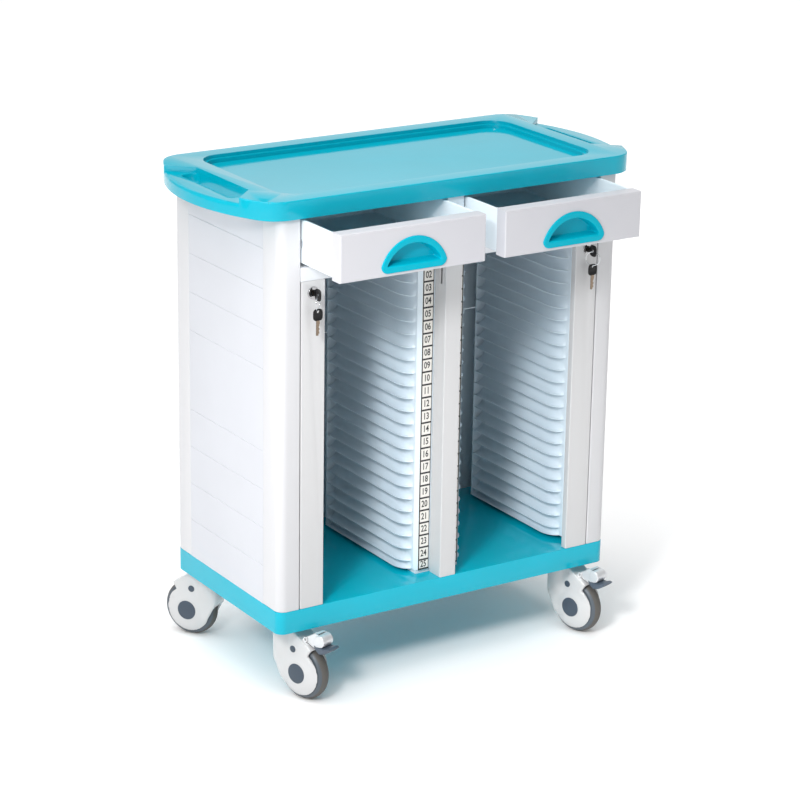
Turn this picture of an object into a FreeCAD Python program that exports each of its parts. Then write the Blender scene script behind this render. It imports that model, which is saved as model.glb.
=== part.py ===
import FreeCAD, Part
import math
import os

import Sketcher

# A hospital records trolley: a cabinet on four casters, with two bays of folder slots closed by
# slatted shutters, two drawers and a worktop with hand bars. Millimetres, X to the right, Y to the
# rear, Z up from the floor. The cabinet is drawn about its own centre and then moved by
# frame_shift, so that the origin lies under the middle of the whole trolley, drawers pulled out.

doc = FreeCAD.newDocument("RecordsTrolley")

# Driving dimensions: name, value, meaning

SIZES = [
    ("frame_shift", 34.8, "cabinet centre behind the middle of the whole trolley"),
    ("body_width", 670.0, "cabinet across the posts"),
    ("body_depth", 358.0, "cabinet from front to rear"),
    ("caster_height", 132.0, "floor to the underside of the base tray"),
    ("tray_height", 39.4, "base tray"),
    ("tray_corner", 15.0, "base tray corner radius"),
    ("tray_wall", 4.0, "base tray wall"),
    ("tray_skin", 8.0, "base tray deck thickness"),
    ("tray_rib", 6.0, "rib between the cells under the base tray"),
    ("tray_block", 110.0, "solid end of the base tray over each caster pair"),
    ("bay_height", 567.1, "base tray to drawer deck"),
    ("deck_height", 23.5, "drawer deck"),
    ("drawer_space", 82.6, "drawer deck to worktop"),
    ("post_width", 39.0, "post across the front"),
    ("post_depth", 53.0, "post along the side"),
    ("post_corner", 16.0, "post outer corner radius"),
    ("post_wall", 3.0, "post wall"),
    ("cleat_length", 14.0, "cleat of a rear post, behind the back panel edge"),
    ("cleat_thick", 3.0, "cleat thickness"),
    ("panel_thick", 4.0, "side and back panels"),
    ("side_inset", 0.4, "side panel face inside the post face"),
    ("back_inset", 6.0, "back panel face inside the post face"),
    ("module_seam", 341.6, "tray top to the joint between side panel modules"),
    ("row_pitch", 67.5, "row height of a side panel"),
    ("upper_first_row", 70.5, "lowest row of the upper side panel"),
    ("groove_width", 1.6, "groove between two rows"),
    ("groove_depth", 0.8, "depth of that groove"),
    ("back_lift", 0.5, "back panel above the tray"),
    ("back_joint", 350.0, "tray top to the slit between the back panels"),
    ("back_slit", 1.5, "width of that slit"),
    ("screw_radius", 3.5, "back panel screw head"),
    ("screw_head", 1.6, "height of that head"),
    ("screw_shank", 1.5, "radius of the screw shank"),
    ("screw_inset", 7.0, "screw from the panel's side edge"),
    ("screw_end", 30.0, "screw from the panel's upper and lower edge"),
    ("centre_width", 32.0, "central post and drawer divider"),
    ("centre_depth", 33.0, "central post from front to rear"),
    ("centre_wall", 2.0, "central post wall"),
    ("divider_wall", 3.0, "drawer divider wall"),
    ("rear_stop", 15.0, "deck and divider stop short of the back panel"),
    ("slot_below", 25.0, "strike slot below the lock"),
    ("slot_above", 8.0, "strike slot above the lock"),
    ("slot_width", 5.0, "strike slot"),
    ("bay_inner", 46.0, "wall of the inner guide panel from the centre"),
    ("guide_inset", 28.0, "wall of the outer guide panel from the posts' inner sides"),
    ("guide_thick", 3.0, "guide panel wall"),
    ("guide_rear", 119.0, "guide panel rear end behind the centre"),
    ("guide_front", 33.0, "guide panel flange behind the cabinet front"),
    ("guide_lift", 7.0, "guide panel above the tray"),
    ("flange_thick", 3.0, "guide panel front flange"),
    ("outer_flange", 16.0, "width of the outer guide panel's front flange"),
    ("ledge_reach", 20.0, "ledge out of the guide panel wall"),
    ("ledge_edge", 1.4, "ledge thickness at its tip"),
    ("ledge_rise", 12.0, "height of the hollow curve above a ledge"),
    ("ledge_nose", 79.0, "ledges reach full width this far behind the cabinet front"),
    ("ledge_run", 34.0, "length of the ledges' rounded front ends"),
    ("slot_rest", 1.6, "bay height left over the top folder slot"),
    ("stud_depth", 24.0, "partition stud"),
    ("stud_wall", 2.5, "partition stud wall"),
    ("label_thick", 1.0, "label strip thickness"),
    ("label_inner", 18.7, "label strip inner edge from the centre"),
    ("label_outer", 40.3, "label strip outer edge from the centre"),
    ("worktop_height", 31.2, "worktop"),
    ("worktop_nosing", 7.0, "worktop past the cabinet's front and rear"),
    ("worktop_overhang", 69.0, "middle of a bowed end past the cabinet's side"),
    ("worktop_corner", 50.0, "worktop corner radius"),
    ("bulge_radius", 336.0, "radius of the worktop's bowed ends"),
    ("recess_inset", 26.0, "ends of the tray recess inside the cabinet's sides"),
    ("recess_border", 34.5, "tray recess to the worktop's front and rear edges"),
    ("recess_corner", 42.0, "tray recess corner radius"),
    ("recess_step", 6.0, "upper step of the recess wall"),
    ("recess_ledge", 7.0, "width of the step in the recess wall"),
    ("recess_drop", 12.5, "recess floor below the worktop"),
    ("grip_offset", 4.0, "hand slot outside the cabinet's side"),
    ("grip_width", 32.0, "hand slot across"),
    ("grip_length", 176.0, "hand slot along the side"),
    ("grip_corner", 12.0, "hand slot corner radius"),
    ("bar_drop", 10.0, "hand bar below the worktop"),
    ("bar_notch", 6.0, "lowered zone's straight sides past the hand slot edge"),
    ("bar_end", 5.0, "lowered zone past each end of the hand slot"),
    ("bar_round", 6.0, "rounding of the hand bar's outer edge"),
    ("edge_round", 2.0, "rounding of moulded edges"),
    ("front_side", 3.0, "drawer front to the divider and to the post"),
    ("front_height", 78.6, "drawer front"),
    ("front_thick", 25.0, "drawer front"),
    ("front_gap", 2.0, "drawer front above the deck"),
    ("drawer_open", 117.3, "drawers pulled out at rest"),
    ("box_inset", 0.5, "drawer box inside the drawer front's sides"),
    ("box_lift", 5.0, "drawer box above the drawer front's lower edge"),
    ("box_length", 310.0, "drawer box"),
    ("box_wall", 5.0, "drawer box wall"),
    ("box_floor", 3.0, "drawer box floor"),
    ("box_corner", 6.0, "drawer box inner corner radius"),
    ("cup_width", 123.0, "handle across"),
    ("cup_height", 56.0, "handle from bottom to top"),
    ("cup_lift", 5.0, "handle above the drawer front's lower edge"),
    ("cup_corner", 12.0, "handle lower corner radius"),
    ("rim_proud", 2.5, "handle rim proud of the drawer front"),
    ("rim_width", 12.0, "handle rim"),
    ("cup_depth", 18.0, "handle cup behind the drawer front's face"),
    ("cup_wall", 2.5, "handle cup wall"),
    ("seat_lap", 5.0, "handle rim over the drawer front around the cup"),
    ("runner_thick", 2.9, "fixed drawer runner across"),
    ("runner_height", 8.0, "fixed drawer runner"),
    ("runner_level", 35.0, "fixed drawer runner above the deck"),
    ("slide_strip", 3.0, "height of a drawer slide strip"),
    ("slide_start", 95.0, "slide strips start this far behind the drawer front"),
    ("slide_gap", 0.3, "clearance between runner and slide"),
    ("stile_width", 44.4, "shutter stile"),
    ("stile_thick", 12.0, "shutter stile"),
    ("stile_seam", 2.0, "gap between stile and post"),
    ("stile_gap", 0.6, "stile above the tray and below the deck"),
    ("stile_round", 1.5, "stile front edge rounding"),
    ("rib_width", 6.0, "stile back rib that holds the curtain"),
    ("rib_back", 19.0, "stile back rib reaches this far behind the cabinet front"),
    ("track_line", 21.0, "curtain line behind the cabinet front"),
    ("track_bend", 14.0, "bend radius of the curtain line"),
    ("bend_inset", 20.0, "start of the bend from the posts' inner sides"),
    ("track_rear", 100.0, "curtain's rear end behind the centre"),
    ("slat_thick", 4.0, "curtain slats"),
    ("track_gap", 0.7, "clearance between curtain and track"),
    ("track_wall", 1.5, "track rib"),
    ("track_rise", 6.0, "track rib height"),
    ("lock_inset", 23.0, "lock centre from the post"),
    ("lock_level", 546.6, "lock centre above the tray"),
    ("barrel_radius", 8.0, "lock barrel"),
    ("barrel_flange", 10.0, "lock barrel's front ring"),
    ("flange_proud", 2.5, "thickness of that ring"),
    ("plug_radius", 5.0, "lock plug"),
    ("fit_gap", 0.05, "radial running clearance"),
    ("cam_length", 30.0, "lock cam"),
    ("cam_width", 9.0, "lock cam"),
    ("cam_thick", 3.0, "lock cam"),
    ("cam_gap", 0.6, "lock cam behind the stile"),
    ("cam_room", 3.0, "room around the cam in the stile rib"),
    ("key_radius", 10.0, "key bow"),
    ("key_thick", 2.0, "key"),
    ("key_hole", 3.0, "hole in the key bow"),
    ("key_stem", 9.0, "key stem from lock to bow"),
    ("blade_width", 6.0, "key blade"),
    ("blade_length", 25.0, "blade of the spare key"),
    ("ring_radius", 12.0, "key ring"),
    ("ring_wire", 0.7, "key ring wire"),
    ("ring_gap", 0.5, "ring wire to the key it hangs on"),
    ("hole_offset", 5.5, "spare key's hole from the bow centre"),
    ("caster_inset_side", 50.0, "swivel axis from the cabinet's side"),
    ("caster_inset_front", 54.5, "front swivel axis from the cabinet's front"),
    ("caster_inset_rear", 30.0, "rear swivel axis from the cabinet's rear"),
    ("trail", 37.0, "wheel axle from the swivel axis"),
    ("wheel_radius", 50.0, "wheel"),
    ("tyre_half", 12.5, "half width of the tyre"),
    ("tyre_shoulder", 43.0, "radius where the tyre's crown starts"),
    ("rim_radius", 36.0, "radius of the rim under the tyre"),
    ("hub_radius", 13.0, "wheel hub"),
    ("web_half", 6.0, "half thickness of the wheel web"),
    ("axle_radius", 4.0, "wheel axle"),
    ("well_gap", 2.0, "wheel to the housing above it"),
    ("well_side", 0.8, "wheel to the housing's cheeks"),
    ("housing_half", 20.0, "half width of the caster housing"),
    ("dome_half", 22.0, "half width over the domed cheeks"),
    ("cheek_radius", 41.0, "cheek about the axle"),
    ("cap_radius", 17.7, "axle cap"),
    ("cap_thick", 1.2, "axle cap"),
    ("cap_seat", 0.8, "axle cap sunk into the cheek"),
    ("plug_dot", 6.0, "screw plug beside the cap"),
    ("plug_back", 9.0, "screw plug behind the axle"),
    ("plug_up", 42.0, "screw plug above the axle"),
    ("neck_radius", 26.0, "housing neck about the swivel axis"),
    ("neck_length", 34.0, "height of that neck"),
    ("nose_reach", 66.0, "housing nose from the swivel axis"),
    ("nose_level", 98.0, "housing nose above the floor"),
    ("slope_start", 22.0, "start of the slope to the nose"),
    ("back_level", 82.0, "lower end of the housing's upright back"),
    ("plate_radius", 29.0, "swivel plate"),
    ("plate_height", 4.2, "swivel plate"),
    ("plate_gap", 0.3, "swivel plate above the housing"),
    ("kingpin_radius", 6.0, "kingpin"),
    ("kingpin_down", 20.0, "kingpin in the housing"),
    ("kingpin_up", 25.0, "kingpin in the base tray"),
    ("pivot_reach", 50.0, "brake pivot from the swivel axis"),
    ("pivot_level", 113.5, "brake pivot above the floor"),
    ("pivot_radius", 2.0, "brake pivot pin"),
    ("lug_radius", 5.0, "lug for the brake pivot"),
    ("lever_half", 11.0, "half width of the brake lever"),
    ("lug_half", 15.0, "half width over the lugs"),
    ("pedal_half", 14.5, "half width of the brake pedal"),
]

# Headings of the casters at rest, in degrees from straight ahead towards the right

ANGLES = [
    ("front_left_angle", 18.0, "front left caster"),
    ("front_right_angle", 16.0, "front right caster"),
    ("rear_left_angle", 213.0, "rear left caster"),
    ("rear_right_angle", 205.0, "rear right caster"),
    ("ring_angle", 45.0, "key ring's plane about the vertical"),
]

SLOT_COUNT = 25
ROW_COUNT = 5
STUD_COUNT = 4
RIB_CELLS = 6

sheet = doc.addObject("Spreadsheet::Sheet", "Sizes")


class Size:
    """A size that knows both its value and the formula of sheet cells that gives it."""

    def __init__(self, value, text):
        self.value = value
        self.text = text

    def __float__(self):
        return float(self.value)

    def __add__(self, other):
        return Size(self.value + float(other), f"({self.text} + {text_of(other)})")

    def __radd__(self, other):
        return Size(float(other) + self.value, f"({text_of(other)} + {self.text})")

    def __sub__(self, other):
        return Size(self.value - float(other), f"({self.text} - {text_of(other)})")

    def __rsub__(self, other):
        return Size(float(other) - self.value, f"({text_of(other)} - {self.text})")

    def __mul__(self, other):
        return Size(self.value * float(other), f"({self.text} * {text_of(other)})")

    __rmul__ = __mul__

    def __truediv__(self, other):
        return Size(self.value / float(other), f"({self.text} / {text_of(other)})")

    def __neg__(self):
        return Size(-self.value, f"(-1 * {self.text})")


def text_of(size):
    return size.text if isinstance(size, Size) else repr(size)


class Named:
    """The driving dimensions by name."""


d = Named()
for row, (alias, value, words) in enumerate(SIZES + ANGLES, start=1):
    sheet.set(f"A{row}", words)
    sheet.set(f"B{row}", str(value))
    sheet.setAlias(f"B{row}", alias)
doc.recompute()
for alias, value, words in SIZES + ANGLES:
    setattr(d, alias, Size(float(sheet.get(alias)), f"Sizes.{alias}"))

# Places that several pieces share

half_width = d.body_width / 2
half_depth = d.body_depth / 2
tray_top = d.caster_height + d.tray_height
deck_under = tray_top + d.bay_height
deck_top = deck_under + d.deck_height
worktop_under = deck_top + d.drawer_space
post_inner = half_width - d.post_width
side_face = half_width - d.side_inset
back_face = half_depth - d.back_inset
back_inner = back_face - d.panel_thick
centre_half = d.centre_width / 2
front = -half_depth
centre_rear = front + d.centre_depth
stile_outer = post_inner - d.stile_seam
stile_inner = stile_outer - d.stile_width
stile_back = front + d.stile_thick
lock_side = post_inner - d.lock_inset
lock_height = tray_top + d.lock_level
curtain_line = front + d.track_line
bay_outer = post_inner - d.guide_inset
slot_pitch = (d.bay_height - d.slot_rest) / SLOT_COUNT
worktop_depth = d.body_depth + 2 * d.worktop_nosing
bulge_centre = half_width + d.worktop_overhang - d.bulge_radius
grip_inner = half_width + d.grip_offset
SIDES = (("left", -1), ("right", 1))
parts = []


# Small tools

def vec(x, y, z):
    return FreeCAD.Vector(float(x), float(y), float(z))


def bind(obj, path, size):
    if isinstance(size, Size):
        obj.setExpression(path, size.text)


def put(obj, x, y, z):
    """Places an object at three bound coordinates, keeping its rotation."""
    obj.Placement = FreeCAD.Placement(vec(x, y, z), obj.Placement.Rotation)
    for name, size in (("x", x), ("y", y), ("z", z)):
        bind(obj, f"Placement.Base.{name}", size)


def finished(obj, label, x=0, y=0):
    """Marks an object as a sub-part of the trolley and moves it into the trolley's frame."""
    obj.Label = label
    put(obj, x, d.frame_shift + y, 0)
    parts.append(obj)
    return obj


def block(name, x0, x1, y0, y1, z0, z1):
    """A box between two bound places along each axis, in either order."""
    obj = doc.addObject("Part::Box", name)
    low = []
    for prop, a, b in (("Length", x0, x1), ("Width", y0, y1), ("Height", z0, z1)):
        if float(b) < float(a):
            a, b = b, a
        setattr(obj, prop, float(b) - float(a))
        bind(obj, prop, b - a)
        low.append(a)
    put(obj, *low)
    return obj


AXES = {
    "x": FreeCAD.Rotation(FreeCAD.Vector(0, 1, 0), 90),
    "y": FreeCAD.Rotation(FreeCAD.Vector(1, 0, 0), -90),
    "z": FreeCAD.Rotation(),
}


def rod(name, axis, radius, length, x, y, z):
    """A cylinder that starts at a bound place and runs along an axis."""
    obj = doc.addObject("Part::Cylinder", name)
    obj.Placement = FreeCAD.Placement(FreeCAD.Vector(), AXES[axis])
    obj.Radius = float(radius)
    obj.Height = float(length)
    bind(obj, "Radius", radius)
    bind(obj, "Height", length)
    put(obj, x, y, z)
    return obj


def fused(name, pieces):
    obj = doc.addObject("Part::MultiFuse", name)
    obj.Shapes = pieces
    return obj


def grouped(name, pieces):
    obj = doc.addObject("Part::Compound", name)
    obj.Links = pieces
    return obj


def less(name, base, tools):
    """The base piece with the tools cut out of it."""
    obj = doc.addObject("Part::Cut", name)
    obj.Base = base
    obj.Tool = tools[0] if len(tools) == 1 else fused(name + "_tools", tools)
    return obj


def shaped(name, shape):
    obj = doc.addObject("Part::Feature", name)
    obj.Shape = shape
    return obj


def plane_of(body, role):
    return [item for item in body.Origin.OriginFeatures if item.Role == role][0]


def sketch_on(body, name, role, loops, start=None):
    """A sketch of closed straight-sided loops, every corner held at two bound places."""
    sketch = body.newObject("Sketcher::SketchObject", name)
    sketch.AttachmentSupport = [(plane_of(body, role), "")]
    sketch.MapMode = "FlatFace"
    if start is not None:
        sketch.AttachmentOffset = FreeCAD.Placement(vec(0, 0, start), FreeCAD.Rotation())
        bind(sketch, "AttachmentOffset.Base.z", start)
    for loop in loops:
        first = len(sketch.Geometry)
        corners = [vec(x, y, 0) for x, y in loop]
        for index, corner in enumerate(corners):
            sketch.addGeometry(Part.LineSegment(corner, corners[(index + 1) % len(corners)]), False)
        for index in range(len(corners)):
            following = first + (index + 1) % len(corners)
            sketch.addConstraint(Sketcher.Constraint("Coincident", first + index, 2, following, 1))
        for index, (x, y) in enumerate(loop):
            hold(sketch, first + index, "DistanceX", x, -2)
            hold(sketch, first + index, "DistanceY", y, -1)
    return sketch


def hold(sketch, line, kind, place, axis):
    """Holds the start of a line at a bound distance from the sketch's origin."""
    if not isinstance(place, Size):
        sketch.addConstraint(Sketcher.Constraint("PointOnObject", line, 1, axis))
        return
    index = sketch.addConstraint(Sketcher.Constraint(kind, -1, 1, line, 1, float(place)))
    sketch.setExpression(f"Constraints[{index}]", place.text)


def padded(label, role, loops, length, start=None):
    """A body made by extruding a sketch."""
    body = doc.addObject("PartDesign::Body", label + "_body")
    sketch = sketch_on(body, label + "_outline", role, loops, start)
    pad = body.newObject("PartDesign::Pad", label + "_pad")
    pad.Profile = sketch
    pad.Length = float(length)
    bind(pad, "Length", length)
    doc.recompute()
    return body


def pocketed(body, name, role, loops, length, start=None, backwards=False):
    """A pocket cut into a body from a sketch."""
    sketch = sketch_on(body, name + "_outline", role, loops, start)
    pocket = body.newObject("PartDesign::Pocket", name)
    pocket.Profile = sketch
    pocket.Length = float(length)
    pocket.Reversed = backwards
    bind(pocket, "Length", length)
    before = body.Shape.Volume
    doc.recompute()
    if not pocket.Shape.Volume < before:
        raise RuntimeError(name + " cuts nothing")
    return pocket


def rounded(body, name, radius, wanted):
    """Rounds the edges of a body's last feature that a test picks."""
    tip = body.Tip
    names = [f"Edge{i}" for i, edge in enumerate(tip.Shape.Edges, start=1) if wanted(edge)]
    if not names:
        raise RuntimeError(name + " finds no edge")
    fillet = body.newObject("PartDesign::Fillet", name)
    fillet.Base = (tip, names)
    fillet.Radius = float(radius)
    bind(fillet, "Radius", radius)
    doc.recompute()
    return fillet


def near(a, b):
    return abs(float(a) - float(b)) < SAME_PLACE


SAME_PLACE = 1e-4


def upright_at(x, y):
    """A test for upright edges over a place."""
    def wanted(edge):
        points = [vertex.Point for vertex in edge.Vertexes]
        over = all(near(p.x, x) and near(p.y, y) for p in points)
        return over and len(points) == 2 and not near(points[0].z, points[1].z)
    return wanted


def any_of(*tests):
    def wanted(edge):
        return any(test(edge) for test in tests)
    return wanted


def rectangle(x0, x1, y0, y1):
    return [(x0, y0), (x1, y0), (x1, y1), (x0, y1)]


# Carcass

def base_tray():
    """The moulded base: solid ends over the casters and ribbed cells between them."""
    label = "base_tray"
    outline = rectangle(-half_width, half_width, front, half_depth)
    body = padded(label, "XY_Plane", [outline], d.tray_height, d.caster_height)
    corners = [upright_at(x, y) for x in (-half_width, half_width) for y in (front, half_depth)]
    rounded(body, label + "_corners", d.tray_corner, any_of(*corners))
    cells_from = -half_width + d.tray_block
    cell = (d.body_width - 2 * d.tray_block - (RIB_CELLS - 1) * d.tray_rib) / RIB_CELLS
    loops = []
    for index in range(RIB_CELLS):
        left = cells_from + index * (cell + d.tray_rib)
        loops.append(rectangle(left, left + cell, front + d.tray_wall, -d.tray_rib / 2))
        loops.append(rectangle(left, left + cell, d.tray_rib / 2, half_depth - d.tray_wall))
    pocketed(body, label + "_cells", "XY_Plane", loops, d.tray_height - d.tray_skin, d.caster_height, True)
    bores = []
    radius = d.kingpin_radius + d.fit_gap
    length = d.kingpin_up + d.fit_gap
    for name, x, y, heading in caster_places():
        bores.append(rod(f"{name}_tray_bore", "z", radius, length, x, y, d.caster_height))
    finished(less(label, body, bores), label)


def caster_places():
    """Name, swivel axis and heading of each caster."""
    side = half_width - d.caster_inset_side
    ahead = front + d.caster_inset_front
    behind = half_depth - d.caster_inset_rear
    return [
        ("front_left", -side, ahead, d.front_left_angle),
        ("front_right", side, ahead, d.front_right_angle),
        ("rear_left", -side, behind, d.rear_left_angle),
        ("rear_right", side, behind, d.rear_right_angle),
    ]


def corner_post(name, side, end):
    """A hollow post with one rounded outer corner; the rear ones have a cleat for the back panel."""
    label = f"{name}_post"
    outer_x = side * half_width
    inner_x = side * post_inner
    outer_y = end * half_depth
    inner_y = end * (half_depth - d.post_depth)
    wall_x = side * d.post_wall
    wall_y = end * d.post_wall
    outline = [(outer_x, outer_y), (inner_x, outer_y), (inner_x, inner_y), (outer_x, inner_y)]
    if end > 0:
        tip_x = inner_x - side * d.cleat_length
        outline = [
            (outer_x, outer_y),
            (inner_x, outer_y),
            (inner_x, back_inner),
            (tip_x, back_inner),
            (tip_x, back_inner - d.cleat_thick),
            (inner_x, back_inner - d.cleat_thick),
            (inner_x, inner_y),
            (outer_x, inner_y),
        ]
    bore = [
        (outer_x - wall_x, outer_y - wall_y),
        (inner_x + wall_x, outer_y - wall_y),
        (inner_x + wall_x, inner_y + wall_y),
        (outer_x - wall_x, inner_y + wall_y),
    ]
    body = padded(label, "XY_Plane", [outline, bore], worktop_under - tray_top, tray_top)
    rounded(body, label + "_outside", d.post_corner, upright_at(outer_x, outer_y))
    inside = upright_at(outer_x - wall_x, outer_y - wall_y)
    rounded(body, label + "_inside", d.post_corner - d.post_wall, inside)
    finished(body, label)


def side_panel(name, side, level, bottom, top, first_row):
    """A side panel with shallow grooves between its rows."""
    label = f"{name}_side_panel_{level}"
    end = half_depth - d.post_depth
    face = side * side_face
    outline = rectangle(face, face - side * d.panel_thick, -end, end)
    body = padded(label, "XY_Plane", [outline], top - bottom, bottom)
    loops = []
    for row in range(ROW_COUNT - 1):
        height = bottom + first_row + row * d.row_pitch
        deep = face - side * d.groove_depth
        loops.append([
            (face, height),
            (deep, height + d.groove_width / 2),
            (face, height + d.groove_width),
        ])
    pocketed(body, label + "_grooves", "XZ_Plane", loops, d.body_depth, half_depth)
    finished(body, label)


def back_panels():
    """Two back panels between the rear posts, with a slit between them."""
    joint = tray_top + d.back_joint
    start = tray_top + d.back_lift
    after = joint + d.back_slit
    lower = block("lower_board", -post_inner, post_inner, back_inner, back_face, start, joint)
    upper = block("upper_board", -post_inner, post_inner, back_inner, back_face, after, worktop_under)
    finished(less("back_panel_lower", lower, screw_bores("lower")), "back_panel_lower")
    finished(less("back_panel_upper", upper, screw_bores("upper")), "back_panel_upper")


def screw_places():
    joint = tray_top + d.back_joint
    heights = [
        tray_top + d.back_lift + d.screw_end,
        joint - d.screw_end,
        joint + d.back_slit + d.screw_end,
        worktop_under - d.screw_end,
    ]
    return [(side * (post_inner - d.screw_inset), z) for side in (-1, 1) for z in heights]


def screw_bores(name):
    bores = []
    for index, (x, z) in enumerate(screw_places()):
        radius = d.screw_shank + d.fit_gap
        bores.append(rod(f"{name}_screw_bore_{index}", "y", radius, d.panel_thick, x, back_inner, z))
    return bores


def panel_screws():
    screws = []
    for index, (x, z) in enumerate(screw_places()):
        head = rod(f"screw_head_{index}", "y", d.screw_radius, d.screw_head, x, back_face, z)
        shank = rod(f"screw_shank_{index}", "y", d.screw_shank, d.panel_thick, x, back_inner, z)
        screws.append(fused(f"screw_{index}", [head, shank]))
    finished(grouped("panel_screws", screws), "panel_screws")


def drawer_deck():
    """The board over the bays, notched around the posts."""
    label = "drawer_deck"
    wide = side_face - d.panel_thick
    notch = half_depth - d.post_depth
    outline = [
        (-post_inner, front),
        (post_inner, front),
        (post_inner, -notch),
        (wide, -notch),
        (wide, notch),
        (post_inner, notch),
        (post_inner, half_depth - d.rear_stop),
        (-post_inner, half_depth - d.rear_stop),
        (-post_inner, notch),
        (-wide, notch),
        (-wide, -notch),
        (-post_inner, -notch),
    ]
    finished(padded(label, "XY_Plane", [outline], d.deck_height, deck_under), label)


def drawer_divider():
    """A hollow upright between the drawers, open to the rear."""
    label = "drawer_divider"
    rear = half_depth - d.rear_stop
    inner = centre_half - d.divider_wall
    outline = [
        (-centre_half, front),
        (centre_half, front),
        (centre_half, rear),
        (inner, rear),
        (inner, front + d.divider_wall),
        (-inner, front + d.divider_wall),
        (-inner, rear),
        (-centre_half, rear),
    ]
    finished(padded(label, "XY_Plane", [outline], d.drawer_space, deck_top), label)


def central_post():
    """The hollow post between the bays, slotted on both sides where the lock cams enter."""
    label = "central_post"
    outer = rectangle(-centre_half, centre_half, front, centre_rear)
    inner_half = centre_half - d.centre_wall
    inner = rectangle(-inner_half, inner_half, front + d.centre_wall, centre_rear - d.centre_wall)
    body = padded(label, "XY_Plane", [outer, inner], d.bay_height, tray_top)
    corners = [upright_at(x, front) for x in (-centre_half, centre_half)]
    rounded(body, label + "_edges", d.stile_round, any_of(*corners))
    cam_middle = stile_back + d.cam_gap + d.cam_thick / 2
    slot = rectangle(
        cam_middle - d.slot_width / 2,
        cam_middle + d.slot_width / 2,
        lock_height - d.slot_below,
        lock_height + d.slot_above,
    )
    pocketed(body, label + "_slots", "YZ_Plane", [slot], d.centre_width, centre_half)
    finished(body, label)


def partition_studs():
    """Upright studs between the two inner guide panels."""
    reach = d.bay_inner - d.guide_thick
    first = front + d.guide_front + d.flange_thick
    step = (d.guide_rear - first - d.stud_depth) / (STUD_COUNT - 1)
    studs = []
    inside = reach - d.stud_wall
    for index in range(STUD_COUNT):
        near_side = first + index * step
        far_side = near_side + d.stud_depth
        solid = block(f"stud_{index}", -reach, reach, near_side, far_side, tray_top, deck_under)
        hollow = block(
            f"stud_bore_{index}",
            -inside,
            inside,
            near_side + d.stud_wall,
            far_side - d.stud_wall,
            tray_top,
            deck_under,
        )
        studs.append(less(f"stud_tube_{index}", solid, [hollow]))
    finished(grouped("partition_studs", studs), "partition_studs")


# Guide panels and labels

def guide_panel(wall, reach_way, flange):
    """
    A moulded wall with a ledge under every folder slot and one along its lower edge. The wall
    stands at a distance from the middle, its ledges reach one way along X, and its front flange
    the other way. Between two ledges the wall is upright and turns out to the next ledge's tip in
    a hollow curve. Every ledge is a solid of its own that lies flat against the wall.
    """
    bottom = tray_top + d.guide_lift
    near_side = front + d.guide_front
    rear = d.guide_rear
    tip = wall + reach_way * d.ledge_reach
    behind = wall - reach_way * d.guide_thick
    levels = [bottom + d.ledge_edge]
    levels += [tray_top + index * slot_pitch for index in range(1, SLOT_COUNT)]
    wires = []
    for edge in levels:
        low = vec(tip, 0, edge - d.ledge_edge)
        high = vec(tip, 0, edge)
        root = vec(wall, 0, edge - d.ledge_edge)
        crown = vec(wall, 0, edge + d.ledge_rise)
        sag = HOLLOW_SHARE
        middle = vec(wall + reach_way * d.ledge_reach * sag, 0, edge + d.ledge_rise * sag)
        edges = [
            Part.LineSegment(root, low),
            Part.LineSegment(low, high),
            Part.Arc(high, middle, crown),
            Part.LineSegment(crown, root),
        ]
        wires.append(Part.Wire([edge.toShape() for edge in edges]))
    shift = vec(0, near_side, 0)
    length = vec(0, rear - near_side, 0)
    ledges = [Part.Face(wire).extrude(length).translated(shift) for wire in wires]
    plan = ledge_plan(wall, tip, reach_way, near_side, rear).extrude(vec(0, 0, deck_under - bottom))
    plan.translate(vec(0, 0, bottom))
    solid = box_between(wall, behind, near_side, rear, bottom, deck_under)
    plate = box_between(wall, flange, near_side, near_side + d.flange_thick, bottom, deck_under)
    solid = solid.fuse(plate).removeSplitter()
    return Part.makeCompound([solid] + [ledge.common(plan).Solids[0] for ledge in ledges])


HOLLOW_SHARE = 0.28


def ledge_plan(wall, tip, reach_way, near_side, rear):
    """The ledges' outline from above: straight, with a rounded front end that runs into the wall."""
    full = front + d.ledge_nose
    end = full - d.ledge_run
    half = (tip + wall) / 2
    bow = full - d.ledge_run * BOW_SHARE
    edges = [
        Part.LineSegment(vec(wall, rear, 0), vec(tip, rear, 0)),
        Part.LineSegment(vec(tip, rear, 0), vec(tip, full, 0)),
        Part.Arc(vec(tip, full, 0), vec(tip - (tip - half) * BOW_DIP_SHARE, bow, 0), vec(wall, end, 0)),
        Part.LineSegment(vec(wall, end, 0), vec(wall, rear, 0)),
    ]
    return Part.Face(Part.Wire([edge.toShape() for edge in edges]))


BOW_SHARE = 0.62
BOW_DIP_SHARE = 0.55


def box_between(x0, x1, y0, y1, z0, z1):
    """A plain solid box between places given in either order."""
    low = vec(min(float(x0), float(x1)), min(float(y0), float(y1)), min(float(z0), float(z1)))
    high = vec(max(float(x0), float(x1)), max(float(y0), float(y1)), max(float(z0), float(z1)))
    size = high - low
    return Part.makeBox(size.x, size.y, size.z, low)


def guide_panels():
    for name, side in SIDES:
        inner = guide_panel(side * d.bay_inner, side, side * centre_half)
        outer = guide_panel(side * bay_outer, -side, side * (bay_outer + d.outer_flange))
        finished(shaped(f"{name}_inner_guide", inner), f"{name}_inner_guide_panel")
        finished(shaped(f"{name}_outer_guide", outer), f"{name}_outer_guide_panel")


def label_strips():
    """Number strips in front of the inner guide panels' flanges."""
    rear = front + d.guide_front
    for name, side in SIDES:
        strip = block(
            f"{name}_strip",
            side * d.label_inner,
            side * d.label_outer,
            rear - d.label_thick,
            rear,
            tray_top + d.guide_lift,
            deck_under,
        )
        finished(grouped(f"{name}_labels", [strip]), f"{name}_label_strip")


# Worktop

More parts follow.
